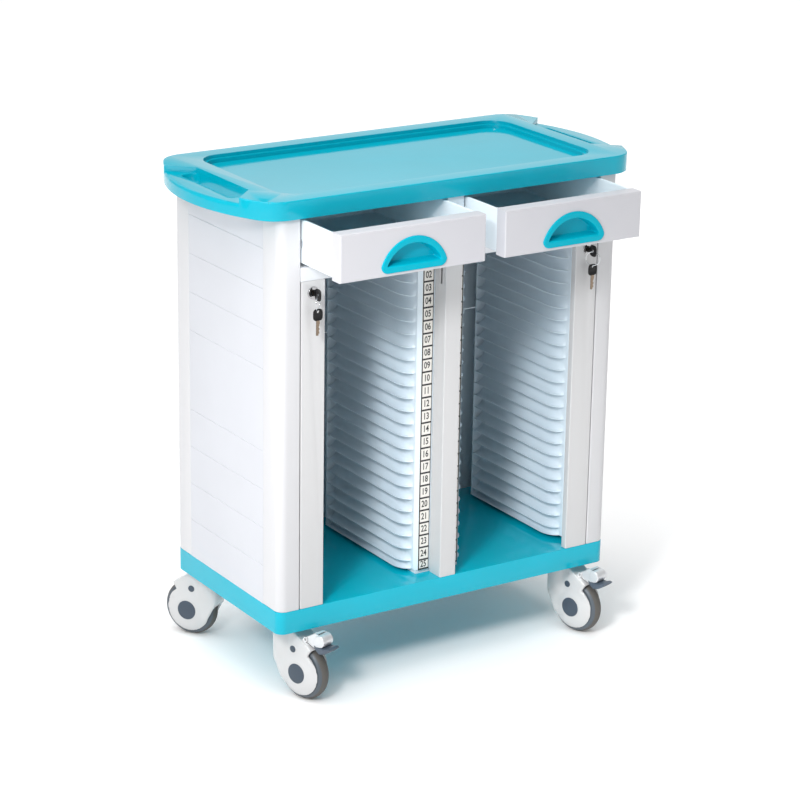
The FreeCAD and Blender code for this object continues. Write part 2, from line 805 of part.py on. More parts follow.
def worktop():
    """
    A moulded board: straight front and rear, bowed ends that meet them in round corners, a stepped
    tray recess, two hand slots, and lowered hand bars outside the slots.
    """
    under = worktop_under
    top = under + d.worktop_height
    solid = worktop_outline().extrude(vec(0, 0, d.worktop_height)).translated(vec(0, 0, under))
    rim = [edge for edge in solid.Edges if all(near(v.Point.z, top) for v in edge.Vertexes)]
    solid = solid.makeFillet(float(d.edge_round), rim)
    recess_width = d.body_width - 2 * d.recess_inset
    recess_depth = worktop_depth - 2 * d.recess_border
    upper = round_slab(recess_width, recess_depth, d.recess_corner, top - d.recess_step, top)
    lower = round_slab(
        recess_width - 2 * d.recess_ledge,
        recess_depth - 2 * d.recess_ledge,
        d.recess_corner - d.recess_ledge,
        top - d.recess_drop,
        top,
    )
    solid = solid.cut([upper, lower])
    for name, side in SIDES:
        slot = round_slab(d.grip_width, d.grip_length, d.grip_corner, under, top)
        slot.translate(vec(side * (grip_inner + d.grip_width / 2), 0, 0))
        solid = solid.cut([slot, bar_zone(side, top)])
    solid = round_bars(solid, top)
    finished(shaped("worktop_board", solid), "worktop")


def worktop_outline():
    """The outline from above: end arcs that touch the round corners from outside."""
    half = worktop_depth / 2
    corner_y = float(half - d.worktop_corner)
    reach = float(d.bulge_radius - d.worktop_corner)
    corner_x = float(bulge_centre) + math.sqrt(reach * reach - corner_y * corner_y)
    slope = math.atan2(corner_y, corner_x - float(bulge_centre))
    touch_x = float(bulge_centre) + float(d.bulge_radius) * math.cos(slope)
    touch_y = float(d.bulge_radius) * math.sin(slope)
    turn = (slope + math.pi / 2) / 2
    bend_x = corner_x + float(d.worktop_corner) * math.cos(turn)
    bend_y = corner_y + float(d.worktop_corner) * math.sin(turn)
    end_x = bulge_centre + d.bulge_radius
    edges = [
        Part.LineSegment(vec(-corner_x, -half, 0), vec(corner_x, -half, 0)),
        Part.Arc(vec(corner_x, -half, 0), vec(bend_x, -bend_y, 0), vec(touch_x, -touch_y, 0)),
        Part.Arc(vec(touch_x, -touch_y, 0), vec(end_x, 0, 0), vec(touch_x, touch_y, 0)),
        Part.Arc(vec(touch_x, touch_y, 0), vec(bend_x, bend_y, 0), vec(corner_x, half, 0)),
        Part.LineSegment(vec(corner_x, half, 0), vec(-corner_x, half, 0)),
        Part.Arc(vec(-corner_x, half, 0), vec(-bend_x, bend_y, 0), vec(-touch_x, touch_y, 0)),
        Part.Arc(vec(-touch_x, touch_y, 0), vec(-end_x, 0, 0), vec(-touch_x, -touch_y, 0)),
        Part.Arc(vec(-touch_x, -touch_y, 0), vec(-bend_x, -bend_y, 0), vec(-corner_x, -half, 0)),
    ]
    return Part.Face(Part.Wire([edge.toShape() for edge in edges]))


def round_slab(width, depth, corner, z0, z1):
    """A slab about the Z axis with round upright corners."""
    slab = box_between(-width / 2, width / 2, -depth / 2, depth / 2, z0, z1)
    upright = [edge for edge in slab.Edges if near(edge.Vertexes[0].X, edge.Vertexes[1].X)
               and near(edge.Vertexes[0].Y, edge.Vertexes[1].Y)]
    return slab.makeFillet(float(corner), upright)


def bar_zone(side, top):
    """The space above a lowered hand bar, widening outwards at 45 degrees."""
    inner = side * grip_inner
    notch = side * (grip_inner + d.bar_notch)
    half = d.grip_length / 2 + d.bar_end
    spread = d.worktop_corner + d.grip_width
    outer = notch + side * spread
    points = [
        vec(inner, -d.grip_length / 2, 0),
        vec(notch, -half, 0),
        vec(outer, -half - spread, 0),
        vec(outer, half + spread, 0),
        vec(notch, half, 0),
        vec(inner, d.grip_length / 2, 0),
    ]
    zone = Part.Face(Part.makePolygon(points + points[:1])).extrude(vec(0, 0, d.bar_drop))
    return zone.translated(vec(0, 0, top - d.bar_drop))


def round_bars(solid, top):
    """Rounds the outer upper edge of both hand bars."""
    level = top - d.bar_drop
    outside = grip_inner + d.grip_width
    picked = []
    for edge in solid.Edges:
        flat = all(near(vertex.Point.z, level) for vertex in edge.Vertexes)
        middle = edge.valueAt((edge.FirstParameter + edge.LastParameter) / 2)
        round_end = near(math.hypot(abs(middle.x) - float(bulge_centre), middle.y), d.bulge_radius)
        if flat and round_end and abs(middle.x) > float(outside):
            picked.append(edge)
    return solid.makeFillet(float(d.bar_round), picked) if picked else solid


# Drawers

def drawer(name, side):
    """A drawer: box, front with the cup handle set in, and the strips that ride on the runners."""
    x0 = side * (centre_half + d.front_side)
    x1 = side * (post_inner - d.front_side)
    middle = (x0 + x1) / 2
    bottom = deck_top + d.front_gap
    top = bottom + d.front_height
    face = front - d.drawer_open
    behind = face + d.front_thick
    label = f"{name}_drawer"
    panel = padded(label + "_face", "XZ_Plane", [rectangle(x0, x1, bottom, top)], d.front_thick, -behind)
    edges = any_of(upright_at(x0, face), upright_at(x1, face), level_at(bottom, face), level_at(top, face))
    rounded(panel, label + "_face_round", d.edge_round, edges)
    base = bottom + d.cup_lift
    seat = dee_face(middle, base, d.seat_lap - d.fit_gap, face).extrude(vec(0, d.cup_depth + d.cup_wall, 0))
    hole = shaped(label + "_seat", seat)
    finished(less(label + "_front_cut", panel, [hole]), label + "_front")
    finished(shaped(label + "_cup", cup(middle, base, face)), label + "_handle")
    drawer_box(name, side, x0, x1, bottom + d.box_lift, top, behind)
    slides(name, side, x0, x1, behind)


def level_at(z, y):
    """A test for level edges at a height and a depth."""
    def wanted(edge):
        return all(near(v.Point.z, z) and near(v.Point.y, y) for v in edge.Vertexes)
    return wanted


def dee_face(middle, base, inset, y):
    """A D shape lying on its straight side, drawn in from the handle's outline by an inset."""
    half = float(d.cup_width / 2) - float(inset)
    low = float(base) + float(inset)
    high = float(base + d.cup_height) - float(inset)
    corner = max(float(d.cup_corner) - float(inset), float(d.cup_wall))
    shoulder = low + corner
    x = float(middle)
    quarter = corner * (1 - math.sqrt(0.5))
    left = vec(x - half, y, shoulder)
    right = vec(x + half, y, shoulder)
    foot_left = vec(x - half + corner, y, low)
    foot_right = vec(x + half - corner, y, low)
    edges = [
        Part.LineSegment(foot_left, foot_right),
        Part.Arc(foot_right, vec(x + half - quarter, y, low + quarter), right),
        Part.Arc(right, vec(x, y, high), left),
        Part.Arc(left, vec(x - half + quarter, y, low + quarter), foot_left),
    ]
    return Part.Face(Part.Wire([edge.toShape() for edge in edges]))


def cup(middle, base, face):
    """A recessed pull: a rim on the drawer front and a hollow cup behind it."""
    rim = dee_face(middle, base, 0, face - d.rim_proud).extrude(vec(0, d.rim_proud, 0))
    outer = [edge for edge in rim.Edges if all(near(v.Point.y, face - d.rim_proud) for v in edge.Vertexes)]
    rim = rim.makeFillet(float(d.rim_proud) * RIM_ROUND_SHARE, outer)
    shell = dee_face(middle, base, d.seat_lap, face).extrude(vec(0, d.cup_depth, 0))
    mouth = dee_face(middle, base, d.rim_width, face - d.rim_proud)
    throat = dee_face(middle, base, d.rim_width + d.cup_wall, face + d.cup_depth - d.cup_wall)
    hollow = Part.makeLoft([mouth.OuterWire, throat.OuterWire], True, True)
    return rim.fuse(shell).cut(hollow).removeSplitter()


RIM_ROUND_SHARE = 0.8


def drawer_box(name, side, x0, x1, bottom, top, behind):
    """An open moulded box with rounded inner corners, butted against the drawer front."""
    label = f"{name}_drawer_box"
    left = x0 + side * d.box_inset
    right = x1 - side * d.box_inset
    rear = behind + d.box_length
    outline = rectangle(left, right, behind, rear)
    body = padded(label, "XY_Plane", [outline], top - d.front_gap - bottom, bottom)
    wall = side * d.box_wall
    inside = rectangle(left + wall, right - wall, behind + d.box_wall, rear - d.box_wall)
    depth = top - d.front_gap - bottom - d.box_floor
    pocketed(body, label + "_hollow", "XY_Plane", [inside], depth, bottom + d.box_floor, True)
    corners = [upright_at(x, y) for x, y in inside]
    rounded(body, label + "_inner", d.box_corner, any_of(*corners))
    finished(body, label)


def slides(name, side, x0, x1, behind):
    """Two strips on each side of the drawer, above and below the fixed runner."""
    level = deck_top + d.runner_level
    start = behind + d.slide_start
    strips = []
    inner_gap = centre_half + d.slide_gap
    outer_gap = post_inner - d.slide_gap
    inner_wall = side * (x0 * side + d.box_inset)
    outer_wall = side * (x1 * side - d.box_inset)
    for place, a, b in (("inner", side * inner_gap, inner_wall), ("outer", side * outer_gap, outer_wall)):
        low = level - d.slide_gap
        high = level + d.runner_height + d.slide_gap
        rear = behind + d.box_length
        strips.append(block(f"{name}_{place}_slide_low", a, b, start, rear, low - d.slide_strip, low))
        strips.append(block(f"{name}_{place}_slide_high", a, b, start, rear, high, high + d.slide_strip))
    finished(grouped(f"{name}_slides", strips), f"{name}_drawer_slides")


def drawer_runners():
    """Four fixed strips that the drawers ride on."""
    low = deck_top + d.runner_level
    rear = half_depth - d.rear_stop
    strips = []
    for name, side in SIDES:
        for place, start, way in (("inner", centre_half, 1), ("outer", post_inner, -1)):
            a = side * start
            b = side * (start + way * d.runner_thick)
            strips.append(block(f"{name}_{place}_runner", a, b, front, rear, low, low + d.runner_height))
    finished(grouped("runner_group", strips), "drawer_runners")


# Shutters

def bent_strip(side, outward, inward, start, rear, z):
    """
    A flat ring-like strip along the curtain line: straight from a start towards the side, round the
    bend, and straight to the rear. The two offsets are measured from the line, outwards and inwards,
    and the strip lies at a height z.
    """
    x = side * (post_inner - d.bend_inset)
    y = curtain_line + d.track_bend
    big = d.track_bend + outward
    small = d.track_bend - inward
    root = math.sqrt(0.5)
    begin_out = vec(side * start, y - big, z)
    begin_in = vec(side * start, y - small, z)
    bend_out = [vec(x, y - big, z), vec(x + side * big * root, y - big * root, z), vec(x + side * big, y, z)]
    middle_in = vec(x + side * small * root, y - small * root, z)
    bend_in = [vec(x + side * small, y, z), middle_in, vec(x, y - small, z)]
    end_out = vec(x + side * big, rear, z)
    end_in = vec(x + side * small, rear, z)
    edges = [
        Part.LineSegment(begin_out, bend_out[0]),
        Part.Arc(*bend_out),
        Part.LineSegment(bend_out[2], end_out),
        Part.LineSegment(end_out, end_in),
        Part.LineSegment(end_in, bend_in[0]),
        Part.Arc(*bend_in),
        Part.LineSegment(bend_in[2], begin_in),
        Part.LineSegment(begin_in, begin_out),
    ]
    return Part.Face(Part.Wire([edge.toShape() for edge in edges]))


def shutter_tracks():
    """Upper tracks from the central post round to the rear, lower ones only beside the bays."""
    near_face = d.slat_thick / 2 + d.track_gap
    far_face = near_face + d.track_wall
    low_start = stile_outer - d.lock_inset
    ribs = []
    for name, side in SIDES:
        for start, level in ((centre_half, deck_under - d.track_rise), (low_start, tray_top)):
            outer = bent_strip(side, far_face, -near_face, start, d.track_rear, level)
            inner = bent_strip(side, -near_face, far_face, start, d.track_rear, level)
            for face in (outer, inner):
                ribs.append(face.extrude(vec(0, 0, d.track_rise)))
    finished(shaped("track_ribs", Part.makeCompound(ribs)), "shutter_tracks")


def shutter(name, side):
    """A shutter: lead stile with its lock, and the slatted curtain put away behind the side."""
    bottom = tray_top + d.stile_gap
    top = deck_under - d.stile_gap
    rib_outer = stile_outer - d.lock_inset - d.stile_gap
    half = d.slat_thick / 2
    stile(name, side, bottom, top)
    curtain = bent_strip(side, half, half, rib_outer - d.rib_width, d.track_rear, bottom)
    curtain = curtain.extrude(vec(0, 0, top - bottom))
    finished(shaped(f"{name}_slats", curtain), f"{name}_shutter_curtain")
    lock(name, side)


def stile(name, side, bottom, top):
    """The stile, with a back rib that holds the curtain and leaves room for the lock's cam."""
    label = f"{name}_shutter_stile"
    rib_x1 = stile_outer - d.lock_inset - d.stile_gap
    rib_x0 = rib_x1 - d.rib_width
    x = [side * place for place in (stile_inner, rib_x0, rib_x1, stile_outer)]
    rib_back = front + d.rib_back
    outline = [(x[0], front), (x[3], front), (x[3], stile_back), (x[0], stile_back)]
    body = padded(label, "XY_Plane", [outline], top - bottom, bottom)
    edges = [upright_at(x[0], front), upright_at(x[3], front)]
    rounded(body, label + "_edges", d.stile_round, any_of(*edges))
    low_end = lock_height - d.cam_length - d.cam_room
    high_start = lock_height + d.cam_width / 2 + d.cam_room
    track_low = tray_top + d.track_rise + d.stile_gap
    track_high = deck_under - d.track_rise - d.stile_gap
    ribs = [
        block(label + "_rib_low", x[1], x[2], stile_back, rib_back, track_low, low_end),
        block(label + "_rib_high", x[1], x[2], stile_back, rib_back, high_start, track_high),
    ]
    solid = fused(label + "_solid", [body] + ribs)
    radius = d.barrel_radius + d.fit_gap
    bore = rod(label + "_bore", "y", radius, d.stile_thick, side * lock_side, front, lock_height)
    finished(less(label + "_cut", solid, [bore]), label)


def lock(name, side):
    """Barrel, turning plug with its cam, key in the plug, and a spare key on a ring."""
    x = side * lock_side
    z = lock_height
    flange_face = front - d.flange_proud
    sleeve = rod(f"{name}_sleeve", "y", d.barrel_radius, d.stile_thick, x, front, z)
    flange = rod(f"{name}_lock_flange", "y", d.barrel_flange, d.flange_proud, x, flange_face, z)
    solid = fused(f"{name}_barrel_solid", [sleeve, flange])
    reach = d.stile_thick + d.flange_proud
    bore = rod(f"{name}_barrel_bore", "y", d.plug_radius + d.fit_gap, reach, x, flange_face, z)
    finished(less(f"{name}_barrel", solid, [bore]), f"{name}_lock_barrel")
    cam_front = stile_back + d.cam_gap
    core = rod(f"{name}_core", "y", d.plug_radius, cam_front + d.cam_thick - flange_face, x, flange_face, z)
    cam = block(
        f"{name}_cam",
        x - side * d.cam_width / 2,
        x + side * d.cam_width / 2,
        cam_front,
        cam_front + d.cam_thick,
        z - d.cam_length,
        z + d.cam_width / 2,
    )
    key_slot = block(
        f"{name}_key_slot",
        x - d.key_thick / 2 - d.fit_gap,
        x + d.key_thick / 2 + d.fit_gap,
        flange_face,
        stile_back,
        z - d.blade_width / 2 - d.fit_gap,
        z + d.blade_width / 2 + d.fit_gap,
    )
    turning = fused(f"{name}_plug_solid", [core, cam])
    finished(less(f"{name}_plug", turning, [key_slot]), f"{name}_lock_plug")
    finished(key(name, x, z, flange_face), f"{name}_key")
    finished(spare_key(name, side, x, z, flange_face), f"{name}_spare_key")


def key(name, x, z, flange_face):
    """A key seen edge on: blade in the plug, stem, and a round bow with a hole on the lock's axis."""
    blade = block(
        f"{name}_key_blade",
        x - d.key_thick / 2,
        x + d.key_thick / 2,
        flange_face - d.key_stem,
        stile_back,
        z - d.blade_width / 2,
        z + d.blade_width / 2,
    )
    bow_y = flange_face - d.key_stem - d.key_radius / 2
    bow = rod(f"{name}_key_bow", "x", d.key_radius, d.key_thick, x - d.key_thick / 2, bow_y, z)
    hole = rod(f"{name}_key_eye", "x", d.key_hole, d.key_thick, x - d.key_thick / 2, bow_y, z)
    return less(f"{name}_key_cut", fused(f"{name}_key_solid", [blade, bow]), [hole])


def spare_key(name, side, x, z, flange_face):
    """A ring through the inserted key's eye, and a second key hanging from it."""
    eye_y = flange_face - d.key_stem - d.key_radius / 2
    wire_top = z - d.key_hole + d.ring_wire + d.ring_gap
    ring = doc.addObject("Part::Torus", f"{name}_ring")
    axis = FreeCAD.Rotation(FreeCAD.Vector(0, 0, 1), side * float(d.ring_angle))
    ring.Placement = FreeCAD.Placement(FreeCAD.Vector(), axis.multiply(AXES["x"]))
    bind(ring, "Radius1", d.ring_radius)
    bind(ring, "Radius2", d.ring_wire)
    put(ring, x, eye_y, wire_top - d.ring_radius)
    hole_z = wire_top - 2 * d.ring_radius - d.key_hole + d.ring_wire + d.ring_gap
    bow_z = hole_z - d.hole_offset
    face = eye_y - d.key_thick / 2
    bow = rod(f"{name}_spare_bow", "y", d.key_radius, d.key_thick, x, face, bow_z)
    blade = block(
        f"{name}_spare_blade",
        x - d.blade_width / 2,
        x + d.blade_width / 2,
        face,
        face + d.key_thick,
        bow_z - d.key_radius - d.blade_length,
        bow_z,
    )
    hole = rod(f"{name}_spare_eye", "y", d.key_hole, d.key_thick, x, face, hole_z)
    plate = less(f"{name}_spare_plate", fused(f"{name}_spare_solid", [bow, blade]), [hole])
    return grouped(f"{name}_spare_group", [ring, plate])


# Casters: drawn about the swivel axis with the wheel towards +X, then turned to their heading

def caster(name, x, y, heading):
    for label, obj in (
        (f"{name}_caster_housing", shaped(f"{name}_housing", housing(name.startswith("front")))),
        (f"{name}_caster_wheel", wheel(name)),
        (f"{name}_caster_axle", axle_and_caps(name)),
    ):
        turned(obj, label, x, y, heading)
    if name.startswith("front"):
        turned(shaped(f"{name}_pedal", brake_pedal()), f"{name}_brake_pedal", x, y, heading)


def turned(obj, label, x, y, heading):
    """Turns a caster piece to its heading, which counts from straight ahead towards the right."""
    turn = FreeCAD.Rotation(FreeCAD.Vector(0, 0, 1), float(heading) - 90)
    obj.Placement = FreeCAD.Placement(FreeCAD.Vector(), turn)
    finished(obj, label, x, y)


def side_outline():
    """The housing from the side: upright back, a straight run down to the cheek, its round edge, and
    the nose above the tread."""
    top = float(d.caster_height - d.plate_height - d.plate_gap)
    cx = float(d.trail)
    cz = float(d.wheel_radius)
    r = float(d.cheek_radius)
    back = -float(d.neck_radius)
    level = float(d.back_level)
    away = math.hypot(cx - back, cz - level)
    toward = math.atan2(cz - level, cx - back)
    lean = math.asin(r / away)
    run = math.sqrt(away * away - r * r)
    low = (back + run * math.cos(toward - lean), level + run * math.sin(toward - lean))
    nose = (float(d.nose_reach), float(d.nose_level))
    rise = math.atan2(nose[1] - cz, nose[0] - cx)
    tip = (cx + r * math.cos(rise), cz + r * math.sin(rise))
    start = math.atan2(low[1] - cz, low[0] - cx)
    middle = (start + rise) / 2
    bulge = (cx + r * math.cos(middle), cz + r * math.sin(middle))
    points = [(back, top), (back, level), low]
    edges = [Part.LineSegment(vec(a[0], 0, a[1]), vec(b[0], 0, b[1])) for a, b in zip(points, points[1:])]
    edges.append(Part.Arc(vec(low[0], 0, low[1]), vec(bulge[0], 0, bulge[1]), vec(tip[0], 0, tip[1])))
    points = [tip, nose, (float(d.slope_start), top), (back, top)]
    edges += [Part.LineSegment(vec(a[0], 0, a[1]), vec(b[0], 0, b[1])) for a, b in zip(points, points[1:])]
    return Part.Face(Part.Wire([edge.toShape() for edge in edges]))


def across(radius, half, x, z):
    """A solid cylinder across the caster, centred on its middle plane."""
    return Part.makeCylinder(float(radius), 2 * float(half), vec(x, -half, z), FreeCAD.Vector(0, 1, 0))


def lens(sign):
    """A domed cheek, turned about the axle."""
    well = d.tyre_half + d.well_side
    rim = vec(d.trail + d.cheek_radius, sign * well, d.wheel_radius)
    edge = vec(d.trail + d.cheek_radius, sign * (well + d.well_side), d.wheel_radius)
    flat = vec(d.trail + d.cap_radius, sign * d.dome_half, d.wheel_radius)
    bulge = (d.cheek_radius + d.cap_radius) / 2
    swell = d.dome_half - (d.dome_half - well) * DOME_SHARE
    middle = vec(d.trail + bulge, sign * swell, d.wheel_radius)
    inner = vec(d.trail, sign * well, d.wheel_radius)
    outer = vec(d.trail, sign * d.dome_half, d.wheel_radius)
    edges = [
        Part.LineSegment(inner, rim),
        Part.LineSegment(rim, edge),
        Part.Arc(edge, middle, flat),
        Part.LineSegment(flat, outer),
        Part.LineSegment(outer, inner),
    ]
    face = Part.Face(Part.Wire([item.toShape() for item in edges]))
    return face.revolve(vec(d.trail, 0, d.wheel_radius), FreeCAD.Vector(0, 1, 0), 360)


DOME_SHARE = 0.27


def housing(has_brake):
    """The moulded housing: neck, back, roof over the tread and two domed cheeks."""
    top = d.caster_height - d.plate_height - d.plate_gap
    slab = side_outline().extrude(vec(0, 2 * d.housing_half, 0)).translated(vec(0, -d.housing_half, 0))
    keep = Part.makeCylinder(float(d.neck_radius), float(top), FreeCAD.Vector())
    keep = keep.fuse(box_between(0, d.nose_reach + d.cheek_radius, -d.housing_half, d.housing_half, 0, top))
    neck = Part.makeCylinder(float(d.neck_radius), float(d.neck_length), vec(0, 0, top - d.neck_length))
    cheeks = across(d.cheek_radius, d.tyre_half + 2 * d.well_side, d.trail, d.wheel_radius)
    ahead = across(d.cheek_radius, d.housing_half, d.trail, d.wheel_radius)
    solid = slab.common(keep).cut(ahead).fuse([neck, cheeks, lens(1), lens(-1)])
    if has_brake:
        solid = solid.fuse(across(d.lug_radius, d.lug_half, d.pivot_reach, d.pivot_level))
    well = across(d.wheel_radius + d.well_gap, d.tyre_half + d.well_side, d.trail, d.wheel_radius)
    pin_depth = float(d.kingpin_down + d.fit_gap)
    pin = Part.makeCylinder(float(d.kingpin_radius + d.fit_gap), pin_depth, vec(0, 0, top - pin_depth))
    bore = across(d.axle_radius + d.fit_gap, d.dome_half, d.trail, d.wheel_radius)
    solid = solid.cut([well, pin, bore])
    for sign in (1, -1):
        seat = Part.makeCylinder(
            float(d.cap_radius + d.fit_gap),
            float(d.cap_seat),
            vec(d.trail, sign * d.dome_half, d.wheel_radius),
            FreeCAD.Vector(0, -sign, 0),
        )
        solid = solid.cut(seat)
    if has_brake:
        gap = across(d.lug_radius + d.well_side, d.lever_half + d.slide_gap, d.pivot_reach, d.pivot_level)
        pivot = across(d.pivot_radius + d.fit_gap, d.housing_half, d.pivot_reach, d.pivot_level)
        solid = solid.cut([gap, pivot])
    return solid.removeSplitter()


def wheel(name):
    """Tyre, rim, web and hub in one profile turned about the axle."""
    r = [d.axle_radius + d.fit_gap, d.hub_radius, d.rim_radius, d.tyre_shoulder, d.wheel_radius]
    half = d.tyre_half

    def at(radius, across_by):
        return vec(d.trail, across_by, d.wheel_radius + radius)

    steps = [(r[0], half), (r[1], half), (r[1], d.web_half), (r[2], d.web_half), (r[2], half), (r[3], half)]
    left = [at(radius, -across_by) for radius, across_by in steps]
    right = [at(radius, across_by) for radius, across_by in reversed(steps)]
    right.append(left[0])
    edges = [Part.LineSegment(a, b) for a, b in zip(left, left[1:])]
    edges.append(Part.Arc(left[-1], at(r[4], 0), right[0]))
    edges += [Part.LineSegment(a, b) for a, b in zip(right, right[1:])]
    face = Part.Face(Part.Wire([edge.toShape() for edge in edges]))
    solid = face.revolve(vec(d.trail, 0, d.wheel_radius), FreeCAD.Vector(0, 1, 0), 360)
    return shaped(f"{name}_wheel", solid)


def axle_and_caps(name):
    """The axle with a cap at each end, and the two screw plugs in the cheeks."""
    seat = d.dome_half - d.cap_seat
    solid = across(d.axle_radius, seat, d.trail, d.wheel_radius)
    plugs = []
    for sign in (1, -1):
        way = FreeCAD.Vector(0, sign, 0)
        place = vec(d.trail, sign * seat, d.wheel_radius)
        solid = solid.fuse(Part.makeCylinder(float(d.cap_radius), float(d.cap_thick), place, way))
        place = vec(d.trail - d.plug_back, sign * d.housing_half, d.wheel_radius + d.plug_up)
        plugs.append(Part.makeCylinder(float(d.plug_dot), float(d.cap_seat), place, way))
    return shaped(f"{name}_axle", Part.makeCompound([solid] + plugs))


def brake_pedal():
    """A lever over the nose with its pivot pin, and the broad pedal at its end."""
    lever = prism(LEVER_SHARES, d.lever_half)
    foot = prism(PEDAL_SHARES, d.pedal_half)
    boss = across(d.lug_radius - d.slide_gap * 2, d.lever_half, d.pivot_reach, d.pivot_level)
    pin = across(d.pivot_radius, d.lug_half, d.pivot_reach, d.pivot_level)
    return lever.fuse([foot, boss, pin]).removeSplitter()


def prism(shares, half):
    """A plate across the caster, its side view in lug radii ahead of and above the pivot."""
    r = d.lug_radius
    points = [vec(d.pivot_reach + r * along, -half, d.pivot_level + r * up) for along, up in shares]
    face = Part.Face(Part.makePolygon(points + points[:1]))
    return face.extrude(vec(0, 2 * half, 0))


LEVER_SHARES = [(-0.6, 0.5), (2.2, 2.8), (4.4, 2.8), (6.0, 1.0), (4.2, -1.5), (3.2, -1.9), (0.7, -0.4)]
PEDAL_SHARES = [
    (4.0, -1.5),
    (4.6, -3.3),
    (6.8, -4.3),
    (10.6, -2.0),
    (11.2, -0.7),
    (9.6, 0.7),
    (6.8, 0.5),
    (4.4, -0.1),
]


def caster_plates():
    """Swivel plates under the base tray, each with a kingpin through it."""
    groups = []
    for name, x, y, heading in caster_places():
        low = d.caster_height - d.plate_height
        plate = rod(f"{name}_plate", "z", d.plate_radius, d.plate_height, x, y, low)
        length = d.kingpin_down + d.plate_height + d.plate_gap + d.kingpin_up
        pin = rod(f"{name}_kingpin", "z", d.kingpin_radius, length, x, y, low - d.plate_gap - d.kingpin_down)
        groups.append(fused(f"{name}_swivel", [plate, pin]))
    finished(grouped("swivel_group", groups), "caster_plates")


# The whole trolley

base_tray()
for name, side in SIDES:
    corner_post(f"front_{name}", side, -1)
    corner_post(f"rear_{name}", side, 1)
    seam = tray_top + d.module_seam
    side_panel(name, side, "lower", tray_top, seam, d.row_pitch)
    side_panel(name, side, "upper", seam, worktop_under, d.upper_first_row)
back_panels()
panel_screws()
drawer_deck()
drawer_divider()
central_post()
partition_studs()
guide_panels()
label_strips()
worktop()
drawer_runners()
shutter_tracks()
for name, side in SIDES:
    drawer(name, side)
    shutter(name, side)
caster_plates()
for place in caster_places():
    caster(*place)
doc.recompute()

faults = [obj.Name for obj in doc.Objects if "Invalid" in obj.State or "Error" in obj.State]
for obj in parts:
    if obj.Shape.isNull() or not obj.Shape.isValid():
        faults.append(obj.Label)
if faults:
    raise RuntimeError("failed: " + ", ".join(faults))

os.makedirs("parts", exist_ok=True)
for obj in parts:
    obj.Shape.exportStep(f"parts/{obj.Label}.step")
print(len(parts), "parts")
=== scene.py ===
"""A records trolley for a hospital ward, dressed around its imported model.

Shapes are written in millimetres about the cabinet's own centre, with the floor at height zero, and
are moved into the model's frame when their mesh is made. A shape is a grid of points worked out from
two parameters, or a profile carried along a path.
"""
import math

import bmesh
import bpy
import numpy as np
from mathutils import Matrix


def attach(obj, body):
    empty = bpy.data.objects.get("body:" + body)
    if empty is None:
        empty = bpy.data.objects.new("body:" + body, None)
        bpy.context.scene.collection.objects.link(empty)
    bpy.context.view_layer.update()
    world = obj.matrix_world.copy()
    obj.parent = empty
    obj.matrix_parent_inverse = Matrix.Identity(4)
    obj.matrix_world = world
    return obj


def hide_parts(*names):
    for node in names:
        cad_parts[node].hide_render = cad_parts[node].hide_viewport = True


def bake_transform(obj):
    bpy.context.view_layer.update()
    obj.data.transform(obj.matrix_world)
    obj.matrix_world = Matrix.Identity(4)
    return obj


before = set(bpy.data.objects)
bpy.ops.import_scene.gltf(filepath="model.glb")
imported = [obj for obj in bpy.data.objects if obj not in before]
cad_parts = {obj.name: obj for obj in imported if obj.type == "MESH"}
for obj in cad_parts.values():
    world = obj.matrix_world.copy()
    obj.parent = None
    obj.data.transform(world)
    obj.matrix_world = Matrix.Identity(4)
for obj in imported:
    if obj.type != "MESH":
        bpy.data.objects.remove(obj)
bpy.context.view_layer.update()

MM = 0.001
TURN = 2 * math.pi
SIDES = {"left": -1.0, "right": 1.0}

# The cabinet's centre lies this far behind the model's origin, because the drawers stand open.
CABINET_SHIFT = np.array([0.0, 34.8, 0.0])


# Grids and meshes

WELD = 1e-6
CREASE = 35.0
FLAT_ANGLE = 0.4
EDGE_ANGLE = 30.0


def quads(rows, cols, wrap_rows=False, wrap_cols=False):
    """Faces between the neighbours of a grid, going round again where it wraps."""
    r = np.arange(rows if wrap_rows else rows - 1)[:, None]
    c = np.arange(cols if wrap_cols else cols - 1)[None, :]
    r2 = (r + 1) % rows
    c2 = (c + 1) % cols
    return np.stack([r * cols + c, r * cols + c2, r2 * cols + c2, r2 * cols + c], -1).reshape(-1, 4)


def shell(points, wrap_rows=False, wrap_cols=False):
    """A grid of points with its faces."""
    points = np.asarray(points, float)
    rows, cols = points.shape[:2]
    return points.reshape(-1, 3), quads(rows, cols, wrap_rows, wrap_cols)


def between(front, back):
    """A closed solid between two facing grids, joined round their border."""
    front = np.asarray(front, float)
    back = np.asarray(back, float)
    sides = [(grid[0], grid[-1], grid[:, 0], grid[:, -1]) for grid in (front, back)]
    rim = [shell(np.stack(pair)) for pair in zip(*sides)]
    return [shell(front), shell(back)] + rim


def boxes(corners):
    """Plain bars from rows of low and high corners: x0, x1, y0, y1, z0, z1."""
    c = np.asarray(corners, float).reshape(-1, 6)
    low = np.minimum(c[:, 0::2], c[:, 1::2])
    high = np.maximum(c[:, 0::2], c[:, 1::2])
    pick = np.array([[i & 1, i >> 1 & 1, i >> 2 & 1] for i in range(8)])
    points = np.where(pick[None], high[:, None], low[:, None])
    sides = np.array([[0, 2, 3, 1], [4, 5, 7, 6], [0, 1, 5, 4], [2, 6, 7, 3], [0, 4, 6, 2], [1, 3, 7, 5]])
    faces = (np.arange(len(c)) * 8)[:, None, None] + sides[None]
    return points.reshape(-1, 3), faces.reshape(-1, 4)


def capped(near, far):
    """A closed bar between two alike rings, each closed at the mean of its points."""
    near_middle = np.broadcast_to(near.mean(0), near.shape)
    far_middle = np.broadcast_to(far.mean(0), far.shape)
    return shell(np.stack([near_middle, near, far, far_middle]), wrap_cols=True)


